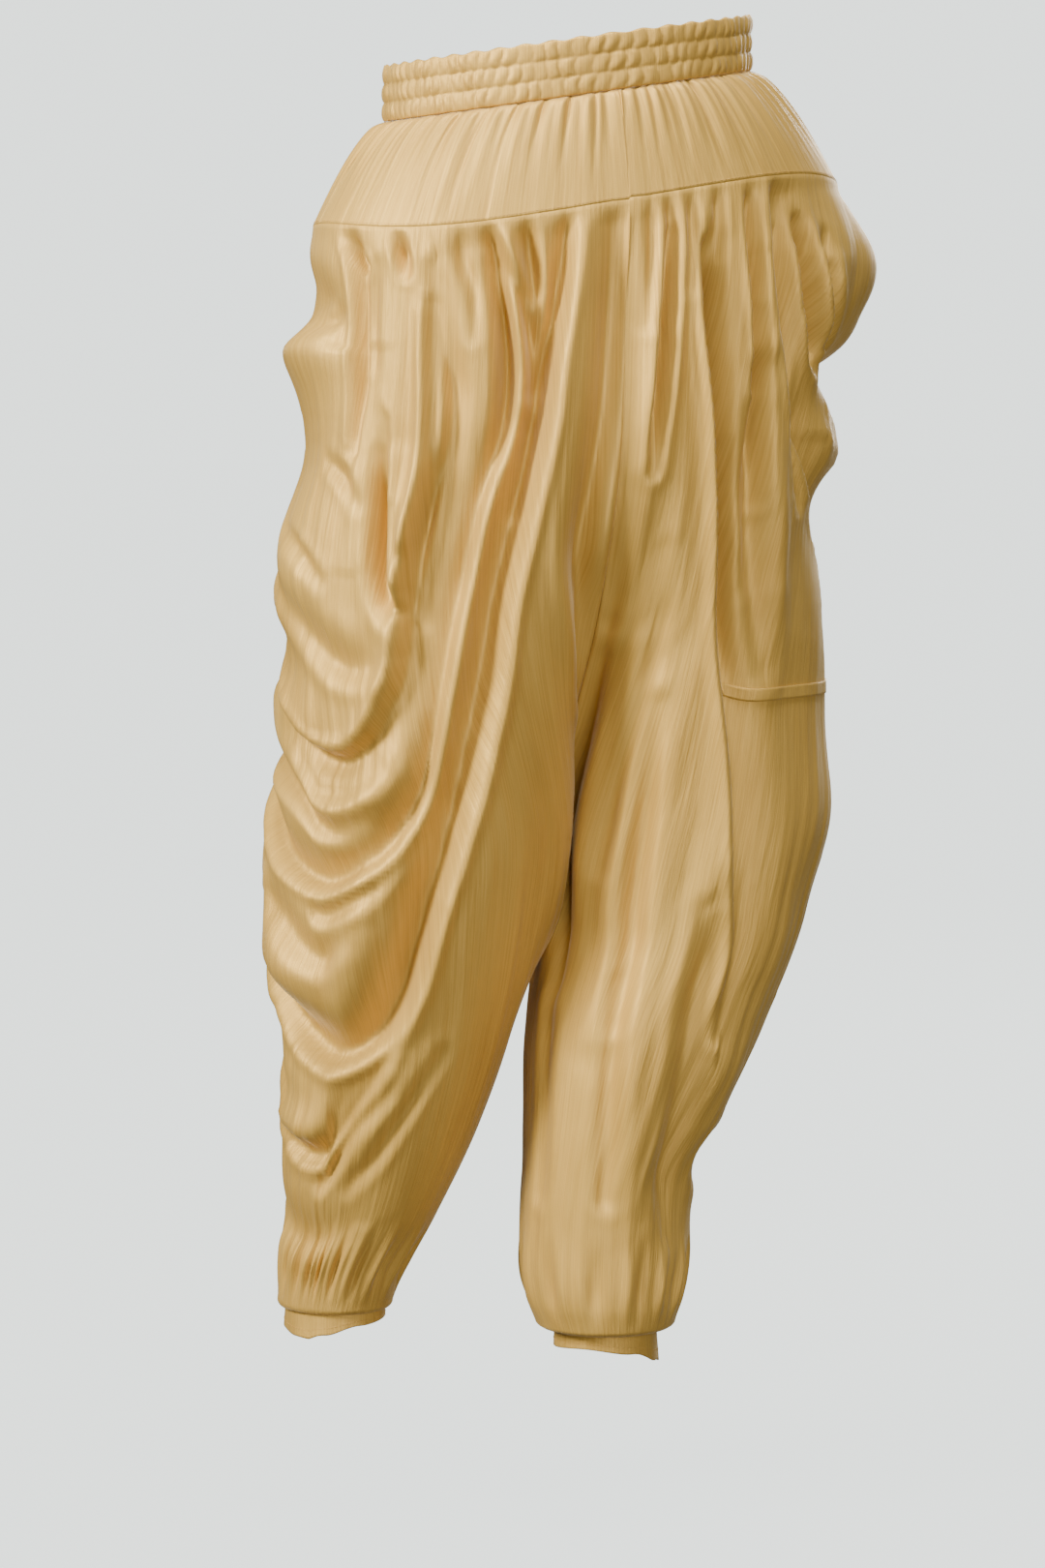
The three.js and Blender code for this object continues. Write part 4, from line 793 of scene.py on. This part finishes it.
def strip_points(leg):
    """The join strip's outer face, which follows the folded leg under it."""
    place, share = grid_of((STRIP["start"], STRIP["end"]), STRIP_COLUMNS, STRIP_ROWS)
    drop = STRIP["drop"] + STRIP["tall"] * share
    near = np.exp(-(((drop - STRIP["drop"]) / STRIP["spread"]) ** 2))
    dipped = 1 - smooth(STRIP["start"] - STRIP["lead"], STRIP["dip_end"], place)
    points = folded_leg(leg, place, drop - STRIP["dip"] * near * dipped)
    return points + normals_of(points, leg["side"]) * STRIP["lift"]


def silk_group():
    """Colour variation, roughness and relief shared by every cloth."""
    group = bpy.data.node_groups.new("Silk weave", "ShaderNodeTree")
    for name in ("Cloth colour", "Slub colour"):
        group.interface.new_socket(name, in_out="INPUT", socket_type="NodeSocketColor")
    group.interface.new_socket("Colour", in_out="OUTPUT", socket_type="NodeSocketColor")
    for name in ("Roughness", "Height"):
        group.interface.new_socket(name, in_out="OUTPUT", socket_type="NodeSocketFloat")
    nodes, links = group.nodes, group.links
    inputs = nodes.new("NodeGroupInput")
    outputs = nodes.new("NodeGroupOutput")
    place = nodes.new("ShaderNodeUVMap")
    place.uv_map = "UVMap"

    def noise(name, across, along, detail):
        scale = nodes.new("ShaderNodeMapping")
        scale.inputs["Scale"].default_value = (across, along, 1)
        links.new(place.outputs["UV"], scale.inputs["Vector"])
        pattern = nodes.new("ShaderNodeTexNoise")
        pattern.name = pattern.label = name
        pattern.inputs["Scale"].default_value = 1
        pattern.inputs["Detail"].default_value = detail
        links.new(scale.outputs["Vector"], pattern.inputs["Vector"])
        return pattern.outputs["Fac"]

    def math_node(operation, first, second):
        node = nodes.new("ShaderNodeMath")
        node.operation = operation
        for socket, value in zip(node.inputs, (first, second)):
            if isinstance(value, float):
                socket.default_value = value
            else:
                links.new(value, socket)
        return node.outputs["Value"]

    def sum_of(*parts):
        total = None
        for value, factor in parts:
            scaled = math_node("MULTIPLY", value, factor)
            total = scaled if total is None else math_node("ADD", total, scaled)
        return total

    def mapped(value, **limits):
        node = nodes.new("ShaderNodeMapRange")
        for name, limit in limits.items():
            node.inputs[name.replace("_", " ").title()].default_value = limit
        links.new(value, node.inputs["Value"])
        return node.outputs["Result"]

    slubs = noise("Warp slubs", **SLUBS)
    crumple = noise("Soft crumple", **CRUMPLE)
    cloudy = noise("Cloudy wear", **CLOUDS)
    streak = sum_of((slubs, SLUB_TINT), (cloudy, CLOUD_TINT))
    mix = nodes.new("ShaderNodeMix")
    mix.data_type = "RGBA"
    links.new(mapped(streak, from_min=TINT_FROM, from_max=TINT_TO), mix.inputs[0])
    links.new(inputs.outputs["Slub colour"], mix.inputs[6])
    links.new(inputs.outputs["Cloth colour"], mix.inputs[7])
    links.new(mix.outputs[2], outputs.inputs["Colour"])
    links.new(mapped(slubs, to_min=DULL_ROUGHNESS, to_max=GLOSSY_ROUGHNESS), outputs.inputs["Roughness"])
    warp = noise("Warp threads", **WARP)
    weft = noise("Weft threads", **WEFT)
    woven = sum_of((warp, WARP_HEIGHT), (weft, WEFT_HEIGHT))
    coarse = sum_of((slubs, SLUB_HEIGHT), (crumple, CRUMPLE_HEIGHT))
    links.new(math_node("ADD", woven, coarse), outputs.inputs["Height"])
    return group


def silk_material(name, settings):
    """Golden silk: slubbed, softly shining and a little crumpled."""
    material = bpy.data.materials.new(name)
    material.use_nodes = True
    nodes, links = material.node_tree.nodes, material.node_tree.links
    shader = nodes["Principled BSDF"]
    weave = nodes.new("ShaderNodeGroup")
    weave.node_tree = bpy.data.node_groups.get("Silk weave") or silk_group()
    weave.inputs["Cloth colour"].default_value = (*settings.cloth_colour, 1)
    weave.inputs["Slub colour"].default_value = (*settings.slub_colour, 1)
    relief = nodes.new("ShaderNodeBump")
    relief.inputs["Strength"].default_value = settings.weave_relief
    relief.inputs["Distance"].default_value = RELIEF_DISTANCE
    links.new(weave.outputs["Colour"], shader.inputs["Base Color"])
    links.new(weave.outputs["Roughness"], shader.inputs["Roughness"])
    links.new(weave.outputs["Height"], relief.inputs["Height"])
    links.new(relief.outputs["Normal"], shader.inputs["Normal"])
    shader.inputs["Sheen Weight"].default_value = settings.sheen
    shader.inputs["Sheen Roughness"].default_value = 0.35
    shader.inputs["Sheen Tint"].default_value = (1.0, 0.86, 0.6, 1)
    shader.inputs["Specular IOR Level"].default_value = 0.3
    shader.inputs["Metallic"].default_value = 0.34
    return material


def thread_material(name, settings):
    """Sewing thread, with its twist as a change of tone."""
    material = bpy.data.materials.new(name)
    material.use_nodes = True
    nodes, links = material.node_tree.nodes, material.node_tree.links
    shader = nodes["Principled BSDF"]
    place = nodes.new("ShaderNodeTexCoord")
    twist = nodes.new("ShaderNodeTexNoise")
    twist.inputs["Scale"].default_value = 2500
    links.new(place.outputs["Object"], twist.inputs["Vector"])
    tint = nodes.new("ShaderNodeMix")
    tint.data_type = "RGBA"
    tint.inputs[6].default_value = (*[value * 0.8 for value in settings.thread_colour], 1)
    tint.inputs[7].default_value = (*settings.thread_colour, 1)
    links.new(twist.outputs["Fac"], tint.inputs[0])
    links.new(tint.outputs[2], shader.inputs["Base Color"])
    shader.inputs["Roughness"].default_value = 0.5
    return material


def cloth_of(settings):
    """The silk, made when the first piece asks for it."""
    return bpy.data.materials.get("Golden silk") or silk_material("Golden silk", settings)


def thread_of(settings):
    """The thread, made when the first seam asks for it."""
    return bpy.data.materials.get("Seam thread") or thread_material("Seam thread", settings)


class DhotiClothSettings(bpy.types.PropertyGroup):
    """Finish of the cloth and its thread."""
    cloth_colour: bpy.props.FloatVectorProperty(
        name="Cloth colour", description="Colour of the lit cloth",
        subtype="COLOR", default=(0.60, 0.372, 0.083), min=0, max=1)
    slub_colour: bpy.props.FloatVectorProperty(
        name="Slub colour", description="Colour of the thicker threads that streak the cloth",
        subtype="COLOR", default=(0.46, 0.268, 0.052), min=0, max=1)
    thread_colour: bpy.props.FloatVectorProperty(
        name="Thread colour", description="Colour of the stitching",
        subtype="COLOR", default=(0.62, 0.36, 0.085), min=0, max=1)
    thickness: bpy.props.FloatProperty(
        name="Cloth thickness", description="Thickness of one layer of cloth",
        subtype="DISTANCE", unit="LENGTH", default=0.0008, min=0.0003, max=0.003)
    weave_relief: bpy.props.FloatProperty(
        name="Weave relief", description="Strength of the woven surface",
        subtype="FACTOR", default=0.5, min=0, max=1)
    sheen: bpy.props.FloatProperty(
        name="Sheen", description="Soft edge sheen of the silk",
        subtype="FACTOR", default=0.25, min=0, max=1)


class DhotiStageSettings(bpy.types.PropertyGroup):
    """Floor, light and camera."""
    floor_height: bpy.props.FloatProperty(
        name="Floor height", description="Height of the floor, measured from the waist",
        subtype="DISTANCE", unit="LENGTH", default=-1.07)
    floor_colour: bpy.props.FloatVectorProperty(
        name="Floor colour", description="Colour of the floor under its own glow",
        subtype="COLOR", default=(0.02, 0.021, 0.021), min=0, max=1)
    azimuth: bpy.props.FloatProperty(
        name="Camera azimuth", description="Direction that the camera looks from, turned from the front",
        subtype="ANGLE", unit="ROTATION", default=math.radians(160))
    distance: bpy.props.FloatProperty(
        name="Camera distance", description="Level distance from the waist's axis to the camera",
        subtype="DISTANCE", unit="LENGTH", default=3.4)
    lens: bpy.props.FloatProperty(
        name="Camera lens", description="Focal length in millimetres",
        default=106.4, min=10, max=300)


class DHOTI_OT_waistband(bpy.types.Operator):
    """Makes the elastic waistband with its three rows of ruches"""
    bl_idname = "dhoti.waistband"
    bl_label = "Ruched waistband"

    def execute(self, context):
        material = cloth_of(context.scene.dhoti_cloth)
        piece = cloth_mesh("waistband_cloth", band_points(BAND_COLUMNS, BAND_ROWS), (1.2, 0.045), material,
                           BAND_THICK, closed_from=0)
        dress(piece, "waistband")
        return {"FINISHED"}


class DHOTI_OT_yoke(bpy.types.Operator):
    """Makes the gathered yoke: two back quarters and one front half"""
    bl_idname = "dhoti.yoke"
    bl_label = "Gathered yoke"

    def execute(self, context):
        settings = context.scene.dhoti_cloth
        grid = grid_of((0, 0.5 - YOKE_SIDE_GAP), YOKE_COLUMNS, YOKE_ROWS)
        for name, leg in LEGS.items():
            piece = cloth_mesh("yoke_back_cloth_" + name, yoke_points(leg, *grid), (0.3, 0.09),
                               cloth_of(settings), settings.thickness, side=leg["side"])
            dress(piece, "yoke_back_" + name)
        grid = grid_of((0.5 + YOKE_SIDE_GAP, 1), YOKE_COLUMNS, YOKE_ROWS)
        left = yoke_points(LEGS["left"], *grid)
        right = yoke_points(LEGS["right"], *grid)[:, ::-1]
        centre = (left[:, -1:] + right[:, :1]) / 2
        piece = cloth_mesh("yoke_front_cloth", np.concatenate([left[:, :-1], centre, right[:, 1:]], axis=1),
                           (0.6, 0.09), cloth_of(settings), settings.thickness)
        dress(piece, "yoke_front")
        return {"FINISHED"}


class DHOTI_OT_legs(bpy.types.Operator):
    """Makes the two folded legs"""
    bl_idname = "dhoti.legs"
    bl_label = "Folded legs"

    def execute(self, context):
        settings = context.scene.dhoti_cloth
        for name, leg in LEGS.items():
            points, closed = leg_rows(leg, LEG_COLUMNS, LEG_ROWS)
            piece = cloth_mesh("leg_cloth_" + name, points, (0.95, 0.82), cloth_of(settings),
                               settings.thickness, side=leg["side"], closed_from=closed)
            dress(piece, "leg_" + name)
        return {"FINISHED"}


class DHOTI_OT_cuffs(bpy.types.Operator):
    """Makes the two ankle cuffs"""
    bl_idname = "dhoti.cuffs"
    bl_label = "Ankle cuffs"

    def execute(self, context):
        material = cloth_of(context.scene.dhoti_cloth)
        for name, leg in LEGS.items():
            piece = cloth_mesh("cuff_cloth_" + name, cuff_points(leg), (0.24, 0.03), material, CUFF_THICK,
                               side=leg["side"], closed_from=0)
            dress(piece, "cuff_" + name)
        return {"FINISHED"}


class DHOTI_OT_join_strip(bpy.types.Operator):
    """Makes the join strip across the outer right leg"""
    bl_idname = "dhoti.join_strip"
    bl_label = "Join strip"

    def execute(self, context):
        leg = LEGS["right"]
        piece = cloth_mesh("join_strip_cloth", strip_points(leg), (0.6, 0.009),
                           cloth_of(context.scene.dhoti_cloth), STRIP_THICK, side=leg["side"])
        dress(piece, "join_strip_right")
        return {"FINISHED"}


class DHOTI_OT_stitching(bpy.types.Operator):
    """Sews the visible rows of stitches"""
    bl_idname = "dhoti.stitching"
    bl_label = "Stitching"

    def execute(self, context):
        thread = thread_of(context.scene.dhoti_cloth)
        sewn = []
        share = np.linspace(YOKE_SEWN_FROM, 1, YOKE_SEWN_STEPS)
        for seam in YOKE_ROWS_SEWN:
            places = np.linspace(seam["first"], seam["last"], YOKE_SEWN_COLUMNS)
            for name, leg in LEGS.items():
                points = yoke_points(leg, *np.meshgrid(places, share))
                out = normals_of(points, leg["side"])
                sewn.append(stitches("stitches_yoke_%s_%s" % (seam["half"], name), points[YOKE_SEWN_ROW],
                                     out[YOKE_SEWN_ROW], thread))
        band = band_points(BAND_COLUMNS, BAND_SEWN_OF)
        out = normals_of(band, 1)
        for number, row in enumerate(BAND_SEWN_ROWS, 1):
            sewn.append(stitches("stitches_band_%d" % number, band[row], out[row], thread,
                                 pitch=2.6, length=1.7, width=0.35))
        for name, leg in LEGS.items():
            points = cuff_points(leg)
            out = normals_of(points, leg["side"])
            sewn.append(stitches("stitches_cuff_" + name, points[CUFF_SEWN_ROW], out[CUFF_SEWN_ROW], thread,
                                 pitch=2.8))
        for piece in sewn:
            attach(piece, "root")
        return {"FINISHED"}


def floor_material(settings):
    """A pale floor whose glow is only seen, so that it lights nothing."""
    material = bpy.data.materials.new("Pale floor")
    material.use_nodes = True
    nodes, links = material.node_tree.nodes, material.node_tree.links
    shader = nodes["Principled BSDF"]
    shader.inputs["Base Color"].default_value = (*settings.floor_colour, 1)
    shader.inputs["Roughness"].default_value = 0.9
    shader.inputs["Emission Color"].default_value = STUDIO_COLOUR
    seen = nodes.new("ShaderNodeLightPath")
    glow = nodes.new("ShaderNodeMath")
    glow.operation = "MULTIPLY"
    glow.inputs[1].default_value = FLOOR_GLOW
    links.new(seen.outputs["Is Camera Ray"], glow.inputs[0])
    links.new(glow.outputs["Value"], shader.inputs["Emission Strength"])
    return material


def studio_world():
    """Pale surroundings that look brighter than the light they give."""
    world = bpy.data.worlds.new("Pale studio")
    world.use_nodes = True
    nodes, links = world.node_tree.nodes, world.node_tree.links
    nodes["Background"].inputs["Color"].default_value = STUDIO_COLOUR
    seen = nodes.new("ShaderNodeLightPath")
    strength = nodes.new("ShaderNodeMapRange")
    strength.inputs["To Min"].default_value = STUDIO_LIGHT
    strength.inputs["To Max"].default_value = STUDIO_SEEN
    links.new(seen.outputs["Is Camera Ray"], strength.inputs["Value"])
    links.new(strength.outputs["Result"], nodes["Background"].inputs["Strength"])
    return world


def softbox(name, place, size, power, colour):
    """A soft rectangular light that points at the middle of the garment."""
    light = bpy.data.lights.new(name, "AREA")
    light.shape = "RECTANGLE"
    light.size, light.size_y = size
    light.energy = power
    light.color = colour
    lamp = bpy.data.objects.new(name, light)
    lamp.location = place
    lamp.rotation_euler = (LIGHTS_AIM - place).to_track_quat("-Z", "Y").to_euler()
    return lamp


class DHOTI_OT_stage(bpy.types.Operator):
    """Lays the floor and sets the light and the camera"""
    bl_idname = "dhoti.stage"
    bl_label = "Floor, light and camera"

    def execute(self, context):
        settings = context.scene.dhoti_stage
        back = Vector((math.sin(settings.azimuth), -math.cos(settings.azimuth), 0))
        right = Vector((-back.y, back.x, 0))
        up = Vector((0, 0, 1))
        bm = bmesh.new()
        bmesh.ops.create_grid(bm, x_segments=1, y_segments=1, size=FLOOR_SIZE)
        bmesh.ops.translate(bm, verts=bm.verts, vec=up * settings.floor_height)
        finish_mesh("floor", bm, floor_material(settings))
        context.scene.world = studio_world()
        for row in LIGHTS:
            place = back * row["back"] + right * row["right"] + up * row["up"]
            lamp = softbox(row["name"], place, row["size"], row["power"], row["colour"])
            context.collection.objects.link(lamp)

        camera = bpy.data.cameras.new("Camera")
        camera.lens = settings.lens
        camera.sensor_width = 36
        camera.sensor_fit = "AUTO"
        eye = bpy.data.objects.new("Camera", camera)
        context.collection.objects.link(eye)
        eye.location = back * settings.distance - right * CAMERA_LEFT + up * CAMERA_HEIGHT
        eye.rotation_euler = (math.radians(90 - CAMERA_DIP), 0, math.atan2(back.x, -back.y))
        context.scene.camera = eye
        return {"FINISHED"}


class DHOTI_PT_panel(bpy.types.Panel):
    """Lists the trousers' pieces"""
    bl_idname = "DHOTI_PT_panel"
    bl_label = "Draped Dhoti Trousers"
    bl_space_type = "VIEW_3D"
    bl_region_type = "UI"
    bl_category = "Dhoti"

    def draw(self, context):
        for settings in (context.scene.dhoti_cloth, context.scene.dhoti_stage):
            for name in settings.__annotations__:
                self.layout.prop(settings, name)
        for operator in OPERATORS:
            self.layout.operator(operator.bl_idname)


OPERATORS = (DHOTI_OT_waistband, DHOTI_OT_yoke, DHOTI_OT_legs, DHOTI_OT_cuffs, DHOTI_OT_join_strip,
             DHOTI_OT_stitching, DHOTI_OT_stage)
CLASSES = (DhotiClothSettings, DhotiStageSettings, *OPERATORS, DHOTI_PT_panel)


def register():
    for cls in CLASSES:
        bpy.utils.register_class(cls)
    bpy.types.Scene.dhoti_cloth = bpy.props.PointerProperty(type=DhotiClothSettings)
    bpy.types.Scene.dhoti_stage = bpy.props.PointerProperty(type=DhotiStageSettings)


def unregister():
    del bpy.types.Scene.dhoti_stage
    del bpy.types.Scene.dhoti_cloth
    for cls in reversed(CLASSES):
        bpy.utils.unregister_class(cls)


def main():
    register()
    for step in (bpy.ops.dhoti.waistband, bpy.ops.dhoti.yoke, bpy.ops.dhoti.legs, bpy.ops.dhoti.cuffs,
                 bpy.ops.dhoti.join_strip, bpy.ops.dhoti.stitching, bpy.ops.dhoti.stage):
        step()


if __name__ == "__main__":
    main()
